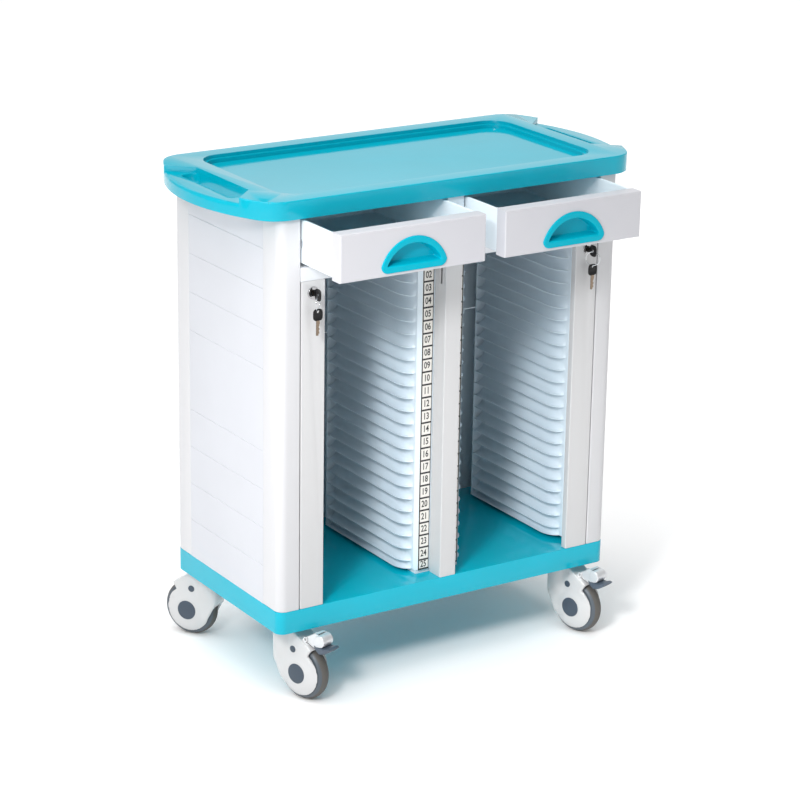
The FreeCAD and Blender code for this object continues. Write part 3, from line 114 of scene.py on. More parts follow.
def upright(outline, low, high):
    """A closed bar along the height from an outline seen from above."""
    ring = np.column_stack([np.asarray(outline, float), np.full(len(outline), low)])
    return capped(ring, ring + (0, 0, high - low))


def turned(profile, steps):
    """
    A profile of radius and height turned about the Z axis: x is radius times the cosine of the
    angle, y radius times its sine.
    """
    profile = np.asarray(profile, float)
    angle = np.linspace(0, TURN, steps, endpoint=False)
    x = profile[:, 0][:, None] * np.cos(angle)
    y = profile[:, 0][:, None] * np.sin(angle)
    z = np.broadcast_to(profile[:, 1][:, None], x.shape)
    return shell(np.stack([x, y, z], -1), wrap_cols=True)


def moved(part, matrix=None, shift=(0, 0, 0)):
    """Points turned by a matrix and then shifted."""
    points, faces = part
    if matrix is not None:
        points = points @ np.asarray(matrix, float).T
    return points + np.asarray(shift, float), faces


def rounded_steps(stations, radius, steps):
    """
    A broken line whose inner corners become small round ones: each corner is replaced by a
    quadratic curve that starts and ends a radius away from it along its two runs.
    """
    stations = np.asarray(stations, float)
    out = [stations[0]]
    t = np.linspace(0, 1, steps + 1)[:, None]
    for before, corner, after in zip(stations, stations[1:], stations[2:]):
        a = before - corner
        b = after - corner
        reach_a = min(radius, 0.5 * np.linalg.norm(a))
        reach_b = min(radius, 0.5 * np.linalg.norm(b))
        start = corner + a / np.linalg.norm(a) * reach_a
        end = corner + b / np.linalg.norm(b) * reach_b
        out.extend((1 - t) ** 2 * start + 2 * t * (1 - t) * corner + t ** 2 * end)
    out.append(stations[-1])
    return np.array(out)


def smooth_step(t):
    """A rise from nothing to one that starts and ends level: 3t^2 - 2t^3."""
    return t * t * (3 - 2 * t)


def eased(points, edges, share, passes):
    """Points drawn towards the mean of their neighbours, each by its own share, in several passes."""
    count = np.bincount(edges.ravel(), minlength=len(points))[:, None]
    for _ in range(passes):
        total = np.stack([np.bincount(edges[:, 0], points[edges[:, 1], axis], len(points))
                          + np.bincount(edges[:, 1], points[edges[:, 0], axis], len(points))
                          for axis in range(3)], -1)
        points = points + share * (total / count - points)
    return points


def vertex_points(mesh):
    """A mesh's points as rows."""
    flat = np.zeros(len(mesh.vertices) * 3)
    mesh.vertices.foreach_get("co", flat)
    return flat.reshape(-1, 3)


def linked(name, data):
    """A new object of the scene."""
    obj = bpy.data.objects.new(name, data)
    bpy.context.scene.collection.objects.link(obj)
    return obj


def placed_mesh(name, points, faces):
    """A mesh of points in millimetres about the cabinet's centre, moved into the model's frame."""
    mesh = bpy.data.meshes.new(name)
    mesh.from_pydata(((points + CABINET_SHIFT) * MM).tolist(), [], faces)
    return mesh


def shaped(name, shells, crease=CREASE):
    """A mesh from several shells: welded, facing outwards, smooth but for its creases."""
    points = np.concatenate([part for part, faces in shells])
    firsts = np.cumsum([0] + [len(part) for part, faces in shells])
    faces = np.concatenate([faces + first for (part, faces), first in zip(shells, firsts)])
    mesh = placed_mesh(name, points, faces.tolist())
    bm = bmesh.new()
    bm.from_mesh(mesh)
    bmesh.ops.remove_doubles(bm, verts=bm.verts, dist=WELD)
    bmesh.ops.dissolve_degenerate(bm, edges=bm.edges, dist=WELD)
    bmesh.ops.recalc_face_normals(bm, faces=bm.faces)
    bm.to_mesh(mesh)
    bm.free()
    mesh.shade_smooth()
    mesh.set_sharp_from_angle(angle=math.radians(crease))
    return linked(name, mesh)


def finished(obj, finish):
    """Gives a piece its finish."""
    obj.data.materials.clear()
    obj.data.materials.append(FINISHES[finish])


def settle(obj, finish, body, stands_for=()):
    """Gives a piece its finish and its body, and hides the nodes that it stands for."""
    finished(obj, finish)
    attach(obj, body)
    if stands_for:
        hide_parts(*stands_for)


def made(name, shells, finish, body, stands_for=(), crease=CREASE):
    """One finished piece on its body."""
    settle(shaped(name, shells, crease), finish, body, stands_for)


def welded_copy(node):
    """A node's mesh with its doubles merged and its flat faces joined."""
    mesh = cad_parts[node].data.copy()
    bm = bmesh.new()
    bm.from_mesh(mesh)
    bmesh.ops.remove_doubles(bm, verts=bm.verts, dist=WELD)
    bmesh.ops.dissolve_limit(bm, angle_limit=math.radians(FLAT_ANGLE), verts=bm.verts, edges=bm.edges)
    bm.to_mesh(mesh)
    bm.free()
    mesh.shade_smooth()
    return mesh


def softened(node, width, finish, body, segments=3):
    """A copy of a node whose sharp edges are rounded."""
    obj = linked(node + "_skin", welded_copy(node))
    bevel = obj.modifiers.new("edge rounding", "BEVEL")
    bevel.width = width * MM
    bevel.segments = segments
    bevel.limit_method = "ANGLE"
    bevel.angle_limit = math.radians(EDGE_ANGLE)
    bevel.harden_normals = True
    settle(obj, finish, body, (node,))


def dress(node, finish):
    """A CAD node keeps its shape and gets a finish."""
    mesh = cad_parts[node].data
    mesh.materials.clear()
    mesh.materials.append(FINISHES[finish])


# Finishes

DRIFT_CELLS = 9.0
DRIFT_DETAIL = 3.0
PEEL_DETAIL = 4.0
NOISE_RANGE = (0.3, 0.7)
TONE_RANGE = (0.35, 0.65)
COAT_ROUGHNESS = 0.12
EVEN = (1.0, 1.0, 1.0)
UPRIGHT_GRAIN = (1.0, 1.0, 0.01)

FINISHES = {}


def tone(code):
    """A linear colour from a six-figure screen colour."""
    raw = np.array([int(code[i:i + 2], 16) for i in (0, 2, 4)]) / 255
    line = np.where(raw <= 0.04045, raw / 12.92, ((raw + 0.055) / 1.055) ** 2.4)
    return (*line.tolist(), 1.0)


def blank(name):
    """A new material with its nodes, its links and its shader."""
    material = bpy.data.materials.new(name)
    material.use_nodes = True
    nodes = material.node_tree.nodes
    return material, nodes, material.node_tree.links, nodes["Principled BSDF"]


def placed_noise(nodes, links, scale, stretch, detail):
    """Noise over the piece's own coordinates, in cells per metre."""
    where = nodes.new("ShaderNodeTexCoord")
    mapping = nodes.new("ShaderNodeMapping")
    mapping.inputs["Scale"].default_value = stretch
    noise = nodes.new("ShaderNodeTexNoise")
    noise.inputs["Scale"].default_value = scale
    noise.inputs["Detail"].default_value = detail
    links.new(where.outputs["Object"], mapping.inputs["Vector"])
    links.new(mapping.outputs["Vector"], noise.inputs["Vector"])
    return noise.outputs["Fac"]


def spread(nodes, links, source, low, high):
    """The noise's middle range laid between two numbers."""
    ranged = nodes.new("ShaderNodeMapRange")
    ranged.inputs["From Min"].default_value = NOISE_RANGE[0]
    ranged.inputs["From Max"].default_value = NOISE_RANGE[1]
    ranged.inputs["To Min"].default_value = low
    ranged.inputs["To Max"].default_value = high
    links.new(source, ranged.inputs["Value"])
    return ranged.outputs["Result"]


def mixed(nodes, links, source, first, second):
    """Two colours mixed by a noise."""
    ramp = nodes.new("ShaderNodeValToRGB")
    for element, position, colour in zip(ramp.color_ramp.elements, TONE_RANGE, (first, second)):
        element.position = position
        element.color = colour
    links.new(source, ramp.inputs["Fac"])
    return ramp.outputs["Color"]


def surface(name, first, second, rough, peel, metal=0.0, coat=0.0, stretch=EVEN, gloss=0.5):
    """
    A finish whose colour drifts between two close tones, whose roughness drifts with it, and whose
    skin has a fine relief: peel is (cells per metre, height in millimetres).
    """
    material, nodes, links, bsdf = blank(name)
    drift = placed_noise(nodes, links, DRIFT_CELLS, stretch, DRIFT_DETAIL)
    links.new(mixed(nodes, links, drift, tone(first), tone(second)), bsdf.inputs["Base Color"])
    links.new(spread(nodes, links, drift, *rough), bsdf.inputs["Roughness"])
    cells, height = peel
    relief = placed_noise(nodes, links, cells, stretch, PEEL_DETAIL)
    bump = nodes.new("ShaderNodeBump")
    bump.inputs["Strength"].default_value = 1.0
    bump.inputs["Distance"].default_value = height * MM
    links.new(relief, bump.inputs["Height"])
    links.new(bump.outputs["Normal"], bsdf.inputs["Normal"])
    bsdf.inputs["Metallic"].default_value = metal
    bsdf.inputs["Specular IOR Level"].default_value = gloss
    bsdf.inputs["Coat Weight"].default_value = coat
    bsdf.inputs["Coat Roughness"].default_value = COAT_ROUGHNESS
    FINISHES[name] = material


def mouldings():
    """The moulded plastics and rubbers."""
    surface("teal_moulding", "00ABC1", "00AEC5", (0.09, 0.12), (900, 0.0004), gloss=0.38)
    surface("teal_pull", "00ABC1", "00AEC5", (0.14, 0.18), (900, 0.0004), gloss=0.14)
    surface("white_moulding", "D8E5EE", "DBE8F0", (0.34, 0.42), (500, 0.004))
    surface("drawer_tray", "E8F1F7", "EBF3F8", (0.38, 0.46), (500, 0.004))
    surface("slat", "C9CCD2", "D0D3D8", (0.34, 0.42), (420, 0.012))
    surface("black_key", "08080A", "0D0D10", (0.34, 0.44), (900, 0.01), gloss=0.35)
    surface("caster_shell", "C6C6C7", "CBCBCB", (0.16, 0.24), (300, 0.008), coat=0.4)
    surface("slate_cap", "3B4653", "414D5B", (0.4, 0.5), (900, 0.02))
    surface("brake", "47525F", "505C69", (0.35, 0.45), (500, 0.02))
    surface("tyre", "54524F", "5C5955", (0.55, 0.7), (700, 0.03))
    surface("tyre_wall", "4C545C", "555D65", (0.4, 0.5), (700, 0.015))


def coated_sheets():
    """The painted sheets and extrusions, the boards and the printed labels."""
    surface("white_panel", "CACCD2", "CDCFD5", (0.36, 0.46), (500, 0.005))
    surface("white_frame", "CFCFD2", "D2D2D4", (0.30, 0.36), (900, 0.003), stretch=UPRIGHT_GRAIN)
    surface("grey_frame", "CBCBCC", "CFCFD0", (0.30, 0.38), (1100, 0.004), stretch=UPRIGHT_GRAIN)
    surface("inner_board", "DFE2E6", "E4E6EA", (0.45, 0.55), (240, 0.02))
    surface("drawer_face", "C8C8CE", "CBCBD0", (0.30, 0.38), (500, 0.004))
    # Painted shade: a dark finish standing in for the shadow in the gap under the tray.
    surface("painted_gap_shade", "2A2E33", "30353A", (0.5, 0.6), (500, 0.02))
    surface("label", "E7E4DE", "EAE7E1", (0.40, 0.50), (900, 0.010))
    surface("label_ink", "232324", "2B2B2C", (0.42, 0.52), (900, 0.006))


def metals():
    """The bare and plated metals."""
    surface("steel", "9DA0A4", "B0B2B6", (0.28, 0.42), (1400, 0.006), metal=1.0)
    surface("lock_metal", "B8B8BA", "C8C8CA", (0.12, 0.2), (1600, 0.003), metal=1.0)
    surface("key_metal", "8C7C6C", "9C8B7A", (0.22, 0.32), (1600, 0.003), metal=1.0)
    surface("chrome", "D0D2D4", "DCDEE0", (0.06, 0.12), (300, 0.004), metal=1.0)
    surface("brake_metal", "D6D8DA", "E2E4E6", (0.30, 0.38), (300, 0.004), metal=0.5)


# Cabinet

TRAY_TOP = 171.4
DECK_UNDER = 738.5
CABINET_FRONT = -179.0
WORKTOP_ROUND = 1.6
TRAY_ROUND = 2.0
POST_ROUND = 1.4
STILE_ROUND = 1.0
MOULDED_SEGMENTS = 4


def cabinet():
    """The fixed shell: rounded copies of what is moulded or extruded, and finishes for the rest."""
    softened("worktop", WORKTOP_ROUND, "teal_moulding", "carcass", MOULDED_SEGMENTS)
    softened("base_tray", TRAY_ROUND, "teal_moulding", "carcass", MOULDED_SEGMENTS)
    for node in ("front_left_post", "front_right_post", "rear_left_post", "rear_right_post"):
        softened(node, POST_ROUND, "white_frame", "carcass")
    softened("central_post", STILE_ROUND, "grey_frame", "carcass")
    for name in SIDES:
        softened(f"{name}_shutter_stile", STILE_ROUND, "grey_frame", f"{name}_shutter")
        dress(f"{name}_side_panel_lower", "white_panel")
        dress(f"{name}_side_panel_upper", "white_panel")
        dress(f"{name}_label_strip", "label")
    for node in ("back_panel_lower", "back_panel_upper", "drawer_divider", "shutter_tracks"):
        dress(node, "white_moulding")
    for node in ("drawer_deck", "partition_studs"):
        dress(node, "inner_board")
    for node in ("panel_screws", "drawer_runners"):
        dress(node, "steel")
    # The caster plates are painted dark as the shadow in the gap between the housings and the tray.
    dress("caster_plates", "painted_gap_shade")


# Guide panels

PANEL_LOW = TRAY_TOP + 7.0
SLOT_COUNT = 25
SLOT_PITCH = 22.62
LEDGE_REACH = 20.0
LEDGE_EDGE = 1.4
LEDGE_RISE = 12.0
HOLLOW_DIP = 0.28
TIP_ROUND = 0.5
NOSE_START = CABINET_FRONT + 45.0
NOSE_RUN = 34.0
NOSE_POWER = 2.1
NOSE_ROUND = 0.62
WALL_THICK = 3.0
WALL_FRONT = -139.3
WALL_REAR = 119.0
STRAIGHT_START = -90.0
FLANGE_FRONT = -146.0
FLANGE_BACK = -143.0
BEND_TIP = -139.5
BEND_INSIDE = -138.8
BEND_BACK = -136.0
BEND_LAP = 0.4
STOP_THICK = 2.2
STOP_SUNK = 0.2
STOP_CLEAR = 0.3

# Each guide: its wall's place from the middle, the way that its ledges point, and its flange's edge.
GUIDES = {
    "inner": (46.0, 1.0, 16.0),
    "outer": (268.0, -1.0, 284.0),
}


def ledge_profile():
    """
    Reach and height of one guide wall from the bottom up. Under every ledge the reach grows from
    nothing to full over a short underside, rounds its tip, and falls back along the arc through the
    tip, the dip and the wall.
    """
    a = np.array([LEDGE_REACH, 0.0])
    b = np.array([0.0, LEDGE_RISE])
    dip = np.array([LEDGE_REACH, LEDGE_RISE]) * HOLLOW_DIP
    centre = np.linalg.solve(np.array([a - b, a - dip]) * 2, [a @ a - b @ b, a @ a - dip @ dip])
    radius = np.linalg.norm(a - centre)
    start, end = (math.atan2(*(p - centre)[::-1]) for p in (a, b))
    if end > start:
        end -= TURN
    angle = np.linspace(start, end, 11)
    arc = np.stack([centre[0] + radius * np.cos(angle), centre[1] + radius * np.sin(angle)], -1)
    arc[0, 1] -= 0.2 * TIP_ROUND
    tip = np.array([[0.0, -LEDGE_EDGE],
                    [0.6 * LEDGE_REACH, -LEDGE_EDGE + 0.1 * TIP_ROUND],
                    [LEDGE_REACH - TIP_ROUND, -LEDGE_EDGE + 0.2 * TIP_ROUND],
                    [LEDGE_REACH - 0.2 * TIP_ROUND, -LEDGE_EDGE + 0.9 * TIP_ROUND],
                    [LEDGE_REACH, -TIP_ROUND]])
    ledge = np.concatenate([tip, arc])
    rows = [ledge + (0.0, PANEL_LOW + LEDGE_EDGE)]
    for index in range(1, SLOT_COUNT):
        rows.append(ledge + (0.0, TRAY_TOP + index * SLOT_PITCH))
    rows.append(np.array([[0.0, DECK_UNDER]]))
    return np.concatenate(rows)


def nose_share(y):
    """
    The ledges' share of their full reach at a depth: nothing before the nose, all of it behind, and
    a round front in between, which is one less a power of what is left of the nose's run, and a
    root of that.
    """
    t = np.clip((y - NOSE_START) / NOSE_RUN, 0.0, 1.0)
    return (1 - (1 - t) ** NOSE_POWER) ** NOSE_ROUND


def flange_outline(wall, way, edge):
    """The bent front of a guide seen from above: it turns from the wall's line away from the ledges."""
    hidden = wall - way * WALL_THICK
    return [(edge, FLANGE_FRONT), (hidden - way * 0.9 * WALL_THICK, FLANGE_FRONT), (wall, BEND_TIP),
            (wall - way * BEND_LAP, BEND_BACK), (hidden, BEND_BACK), (hidden, BEND_INSIDE),
            (hidden - way * 1.2 * WALL_THICK, FLANGE_BACK), (edge, FLANGE_BACK)]


def guide(name, side, place):
    """A guide wall with its ledges, its bent front and the strip that closes the ledges' rear ends."""
    wall, way, edge = GUIDES[place]
    profile = ledge_profile()
    nose = np.linspace(NOSE_START, NOSE_START + NOSE_RUN, 25)
    depth = np.concatenate([[WALL_FRONT], nose, np.linspace(STRAIGHT_START, WALL_REAR, 12)])
    reach = profile[:, 0][:, None] * nose_share(depth)[None, :]
    x = side * (wall + way * reach)
    y = np.broadcast_to(depth[None, :], x.shape)
    z = np.broadcast_to(profile[:, 1][:, None], x.shape)
    front = np.stack([x, y, z], -1)
    back = front.copy()
    back[..., 0] = side * (wall - way * WALL_THICK)
    bend = [(side * across, behind) for across, behind in flange_outline(wall, way, edge)]
    stop_rear = WALL_REAR - STOP_SUNK
    stop = [side * (wall + way * STOP_SUNK), side * (wall + way * (LEDGE_REACH - STOP_CLEAR)),
            stop_rear - STOP_THICK, stop_rear, PANEL_LOW + STOP_CLEAR, DECK_UNDER - STOP_CLEAR]
    shells = between(front, back) + [upright(bend, PANEL_LOW, DECK_UNDER), boxes(stop)]
    node = f"{name}_{place}_guide_panel"
    made(f"{name}_{place}_guide_wall", shells, "white_moulding", "carcass", (node,))


def guide_walls():
    """Both bays' inner and outer guides."""
    for name, side in SIDES.items():
        for place in GUIDES:
            guide(name, side, place)


# Labels

LABEL_INNER = 18.7
LABEL_OUTER = 40.3
LABEL_FACE = -147.0
LABEL_LIFT = 3.0
LABEL_TOP = TRAY_TOP + LABEL_LIFT + SLOT_COUNT * SLOT_PITCH
INK_PROUD = 0.12
INK_LAP = 0.02
RULE_HALF = 1.5
RULE_INSIDE = 1.3
RULE_OUTSIDE = 2.2
FIGURE_HEIGHT = 16.5
FIGURE_NARROW = 0.74
FIGURE_BOLD = 0.30
FIGURE_ROOM = 8.0
LAST_FIGURE_LIFT = 2.8


def figures(text, middle_x, middle_z):
    """A number as a flat mesh, upright and facing the front, as points in millimetres and faces."""
    curve = bpy.data.curves.new("figure", "FONT")
    curve.body = text
    curve.align_x = "CENTER"
    curve.align_y = "CENTER"
    curve.size = FIGURE_HEIGHT
    curve.offset = FIGURE_BOLD
    curve.resolution_u = 3
    obj = bpy.data.objects.new("figure", curve)
    mesh = bpy.data.meshes.new_from_object(obj)
    flat = vertex_points(mesh)
    face_y = np.full(len(flat), LABEL_FACE - INK_PROUD)
    points = np.stack([flat[:, 0] * FIGURE_NARROW + middle_x, face_y, flat[:, 1] + middle_z], -1)
    faces = [list(p.vertices) for p in mesh.polygons]
    bpy.data.objects.remove(obj)
    bpy.data.curves.remove(curve)
    bpy.data.meshes.remove(mesh)
    return points, faces


def rulings(side):
    """The two upright lines of a label strip and a cross line over and under every number."""
    ink = LABEL_FACE - INK_PROUD
    rules = []
    for edge, width in ((LABEL_INNER, RULE_INSIDE), (LABEL_OUTER - RULE_OUTSIDE, RULE_OUTSIDE)):
        rules.append([side * edge, side * (edge + width), ink, LABEL_FACE, PANEL_LOW, DECK_UNDER])
    for index in range(SLOT_COUNT + 1):
        z = LABEL_TOP - index * SLOT_PITCH
        z = min(max(z, PANEL_LOW + RULE_HALF), DECK_UNDER - RULE_HALF)
        rules.append([side * LABEL_INNER, side * LABEL_OUTER, ink - INK_LAP, LABEL_FACE,
                      z - RULE_HALF, z + RULE_HALF])
    return boxes(rules)


def numbers(side):
    """The numbers of a label strip from the top down: they run on from the left strip to the right."""
    points = []
    faces = []
    first = 0
    for index in range(SLOT_COUNT):
        number = index + 1 if side < 0 else index + 1 + SLOT_COUNT
        z = LABEL_TOP - (index + 0.5) * SLOT_PITCH
        if z - FIGURE_ROOM < PANEL_LOW:
            z += LAST_FIGURE_LIFT
        figure, figure_faces = figures(f"{number:02d}", side * (LABEL_INNER + LABEL_OUTER) / 2, z)
        points.append(figure)
        faces += [[corner + first for corner in face] for face in figure_faces]
        first += len(figure)
    return np.concatenate(points), faces


def labels():
    """Black rulings and numbers on both label strips."""
    for name, side in SIDES.items():
        made(f"{name}_label_rules", [rulings(side)], "label_ink", "carcass")
        printed = f"{name}_label_numbers"
        settle(linked(printed, placed_mesh(printed, *numbers(side))), "label_ink", "carcass")


# Drawers

DRAWER_FACE = -296.3
DRAWER_ROUND = 1.2
PULL_SIDE = 156.0
PULL_FOOT = 769.0
PULL_HALF = 61.5
PULL_HEIGHT = 56.0
PULL_CORNER = 12.0
PULL_LEAST_CORNER = 2.5
PULL_PROUD = 2.5
PULL_SEAT = 0.3
PULL_WALL = 5.0
PULL_BACK = 18.0
RIM_WIDTH = 11.2
CUP_DRAFT = 2.4
CUP_DEPTH = 15.6
CUP_FLOOR = 20.0
CUP_FLOOR_DIP = 0.2
RIM_ROUND = 2.4
PULL_CREASE = 50.0
CUP_FLOOR_SHARES = (0.7, 0.4, 0.12, 0.0)


def dee(inset):
    """
    A D lying on its straight side, drawn in by an inset: the straight foot, a quarter circle, the
    arc through both shoulders and the top, and the other quarter circle.
    """
    half = PULL_HALF - inset
    low = inset
    high = PULL_HEIGHT - inset
    corner = max(PULL_CORNER - inset, PULL_LEAST_CORNER)
    shoulder = low + corner
    rise = high - shoulder
    big = (half * half + rise * rise) / (2 * rise)
    foot = np.linspace(-(half - corner), half - corner, 14)
    t = np.linspace(-math.pi / 2, 0, 9)[1:]
    right = np.stack([half - corner + corner * np.cos(t), shoulder + corner * np.sin(t)], -1)
    opening = math.asin(half / big)
    if rise > big:
        opening = math.pi - opening
    t = np.linspace(opening, -opening, 49)[1:]
    arc = np.stack([big * np.sin(t), high - big + big * np.cos(t)], -1)
    t = np.linspace(math.pi, 1.5 * math.pi, 9)[1:-1]
    left = np.stack([-(half - corner) + corner * np.cos(t), shoulder + corner * np.sin(t)], -1)
    line = np.stack([foot, np.full_like(foot, low)], -1)
    return np.concatenate([line, right, arc, left])


def pull(name, side):
    """A D-shaped pull: rings of the D carried over a proud rim and down into a cup."""
    stations = [(0.0, PULL_SEAT), (0.0, -PULL_PROUD), (RIM_WIDTH, -PULL_PROUD),
                (RIM_WIDTH + CUP_DRAFT, CUP_DEPTH), (CUP_FLOOR, CUP_DEPTH + CUP_FLOOR_DIP)]
    rim = rounded_steps(stations, RIM_ROUND, 6)
    rings = [(PULL_WALL, PULL_BACK), (PULL_WALL, PULL_SEAT)] + [tuple(p) for p in rim]
    grid = []
    for inset, depth in rings:
        ring = dee(inset)
        grid.append(np.stack([ring[:, 0], np.full(len(ring), depth), ring[:, 1]], -1))
    floor_middle = grid[-1].mean(0)
    for share in CUP_FLOOR_SHARES:
        grid.append(floor_middle + (grid[-1] - floor_middle) * share)
    grid.insert(0, grid[0] * 0 + grid[0].mean(0))
    part = moved(shell(np.array(grid), wrap_cols=True), None, (side * PULL_SIDE, DRAWER_FACE, PULL_FOOT))
    made(f"{name}_pull", [part], "teal_pull", f"{name}_drawer", (f"{name}_drawer_handle",), PULL_CREASE)


def drawers():
    """Both drawers with their pulls."""
    for name, side in SIDES.items():
        dress(f"{name}_drawer_front", "drawer_face")
        softened(f"{name}_drawer_box", DRAWER_ROUND, "drawer_tray", f"{name}_drawer")
        dress(f"{name}_drawer_slides", "steel")
        pull(name, side)


# Shutter curtains

CURTAIN_LINE = -158.0
BEND_MIDDLE = (276.0, -144.0)
BEND_RADIUS = 14.0
CURTAIN_REAR = 100.0
RIB_SIDE = 264.4
CURTAIN_LOW = 172.2
CURTAIN_HIGH = 737.7
SLAT_PITCH = 13.0
SLATS_IN_FRONT = 16
SLAT_STEPS = 6
SLAT_EDGE = 0.4
SLAT_SWELL = 1.4
SLAT_ROUND = 0.6
SLAT_BACK = 1.0


def curtain(name, side):
    """
    A slatted curtain. It runs from the rear end forwards along the side and round a quarter circle,
    and its front leg is gathered behind the stile: the slats' edges lie where the curve
    3t^2 - 2t^3 has equal steps, t = 1/2 - sin(asin(1 - 2w) / 3). The front face swells between the
    slats' edges as the root of a sine.
    """
    middle_x, middle_y = BEND_MIDDLE
    straight = CURTAIN_REAR - middle_y
    bend = BEND_RADIUS * math.pi / 2
    put_away = round((straight + bend) / SLAT_PITCH)
    s = np.linspace(0, straight + bend, put_away * SLAT_STEPS + 1)
    angle = np.clip((s - straight) / BEND_RADIUS, 0, math.pi / 2)
    back = np.maximum(straight - s, 0.0)
    outwards = np.stack([np.cos(angle), -np.sin(angle)], -1)
    line = np.stack([np.full_like(back, middle_x), middle_y + back], -1) + BEND_RADIUS * outwards
    w = np.linspace(0, 1, SLATS_IN_FRONT * SLAT_STEPS + 1)[1:]
    t = 0.5 - np.sin(np.arcsin(1 - 2 * w) / 3)
    leg = np.stack([middle_x - (middle_x - RIB_SIDE) * t, np.full_like(t, CURTAIN_LINE)], -1)
    line = np.concatenate([line, leg])
    outwards = np.concatenate([outwards, np.broadcast_to((0.0, -1.0), leg.shape)])
    count = np.arange(len(line)) / SLAT_STEPS
    swell = SLAT_EDGE + SLAT_SWELL * np.abs(np.sin(math.pi * count)) ** SLAT_ROUND
    faces = []
    for flat in (line + outwards * swell[:, None], line - outwards * SLAT_BACK):
        x = np.broadcast_to(side * flat[:, 0][:, None], (len(flat), 2))
        y = np.broadcast_to(flat[:, 1][:, None], (len(flat), 2))
        z = np.broadcast_to((CURTAIN_LOW, CURTAIN_HIGH), (len(flat), 2))
        faces.append(np.stack([x, y, z], -1))
    slats = shaped(f"{name}_shutter_slats", between(*faces))
    finished(slats, "slat")
    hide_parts(f"{name}_shutter_curtain")
    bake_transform(slats)


# Locks and keys

LOCK_SIDE = 273.0
LOCK_UP = 718.0
LOCK_BORE = 5.3
LOCK_BARREL = 8.0
LOCK_BARREL_BACK = -10.9
LOCK_COLLAR = 10.0
LOCK_PROUD = 2.5
LOCK_SEAT = -0.1
LOCK_ROUND = 0.6
BOW_MIDDLE_Y = -195.5
BOW_HALF = 10.0
BOW_POWER = 3.4
BOW_EYE = 2.4
BOW_NARROWING = 0.12
RING_MIDDLE_UP = 704.2
RING_RADIUS = 12.0
RING_TURN = 45.0
WIRE_RADIUS = 0.7
SPARE_BOW_UP = 684.9
SPARE_EYE_OFFSET = 5.5

# Both keys' blades and the shank behind the bow of the one in the lock.
SHANK_HALF_THICK = 1.3
SHANK_HALF_WIDE = 4.2
SHANK_FRONT = -188.2
SHANK_BACK = -184.2
BLADE_HALF_THICK = 0.9
BLADE_HALF_WIDE = 3.0
BLADE_FRONT = -184.4
BLADE_BACK = -167.2
SPARE_BLADE_TOP = SPARE_BOW_UP - 9.6
SPARE_CUTS_TOP = SPARE_BOW_UP - 16.0
CUT_PITCH = 3.1
CUT_WIDTHS = (2.2, 1.2, 2.6, 1.6, 2.4, 0.8)

# A bow's section from its eye to its edge: shares of the way out and of half its thickness.
BOW_SECTION_SHARES = np.array([
    (0.0, -1.0), (0.0, 1.0), (0.14, 1.0), (0.22, 0.55), (0.76, 0.55), (0.84, 1.0), (0.95, 1.0),
    (1.0, 0.6), (1.0, -0.6), (0.95, -1.0), (0.84, -1.0), (0.76, -0.55), (0.22, -0.55), (0.14, -1.0)])


def lock(name, side):
    """The lock's front ring: a rounded profile turned about the lock's axis."""
    front_turn = [[1, 0, 0], [0, 0, -1], [0, 1, 0]]
    profile = [(LOCK_BORE, LOCK_BARREL_BACK), (LOCK_BARREL, LOCK_BARREL_BACK), (LOCK_BARREL, LOCK_SEAT),
               (LOCK_COLLAR, LOCK_SEAT), (LOCK_COLLAR, LOCK_PROUD), (LOCK_BORE, LOCK_PROUD)]
    ring = rounded_steps(profile + profile[:1], LOCK_ROUND, 3)
    part = moved(turned(ring, 48), front_turn, (side * LOCK_SIDE, CABINET_FRONT, LOCK_UP))
    made(f"{name}_lock_ring", [part], "lock_metal", f"{name}_shutter", (f"{name}_lock_barrel",))


def bow(eye_offset):
    """
    A squarish key bow in its own plane, with its eye off the middle: curves that pass evenly from
    the round eye to an outer edge of the form |x|^n + |z|^n = 1, carried round a closed section
    with raised borders.
    """
    angle = np.linspace(0, TURN, 40, endpoint=False)
    share = BOW_SECTION_SHARES[:, 0][:, None]
    square = (np.abs(np.cos(angle)) ** BOW_POWER + np.abs(np.sin(angle)) ** BOW_POWER) ** (-1 / BOW_POWER)
    radius = BOW_EYE + (BOW_HALF * square[None, :] - BOW_EYE) * share
    across = radius * np.cos(angle) * (1.0 - BOW_NARROWING * share)
    up = eye_offset * (1 - share) + radius * np.sin(angle)
    thick = np.broadcast_to(BOW_SECTION_SHARES[:, 1][:, None], across.shape)
    return shell(np.stack([across, thick, up], -1), wrap_rows=True, wrap_cols=True)


def key_ring(side):
    """A thin wire round a circle whose plane is turned from the front: a small circle carried round it."""
    turn = side * math.radians(RING_TURN)
    along = np.array([-math.sin(turn), math.cos(turn), 0.0])
    axis = np.array([math.cos(turn), math.sin(turn), 0.0])
    around = np.linspace(0, TURN, 48, endpoint=False)[:, None, None]
    wire = np.linspace(0, TURN, 12, endpoint=False)[None, :, None]
    out = np.cos(around) * along + np.sin(around) * np.array([0.0, 0.0, 1.0])
    points = out * (RING_RADIUS + WIRE_RADIUS * np.cos(wire)) + axis * WIRE_RADIUS * np.sin(wire)
    hung_at = (side * LOCK_SIDE, BOW_MIDDLE_Y, RING_MIDDLE_UP)
    return moved(shell(points, wrap_rows=True, wrap_cols=True), None, hung_at)


def spare_blade(x):
    """A blade that hangs under its bow, with one straight edge and one cut in steps."""
    thick = (BOW_MIDDLE_Y - BLADE_HALF_THICK, BOW_MIDDLE_Y + BLADE_HALF_THICK)
    bars = [[x - BLADE_HALF_WIDE, x + BLADE_HALF_WIDE, *thick, SPARE_CUTS_TOP, SPARE_BLADE_TOP]]
    for index, width in enumerate(CUT_WIDTHS):
        top = SPARE_CUTS_TOP - index * CUT_PITCH
        bars.append([x - BLADE_HALF_WIDE, x + width, *thick, top - CUT_PITCH, top])
    return boxes(bars)


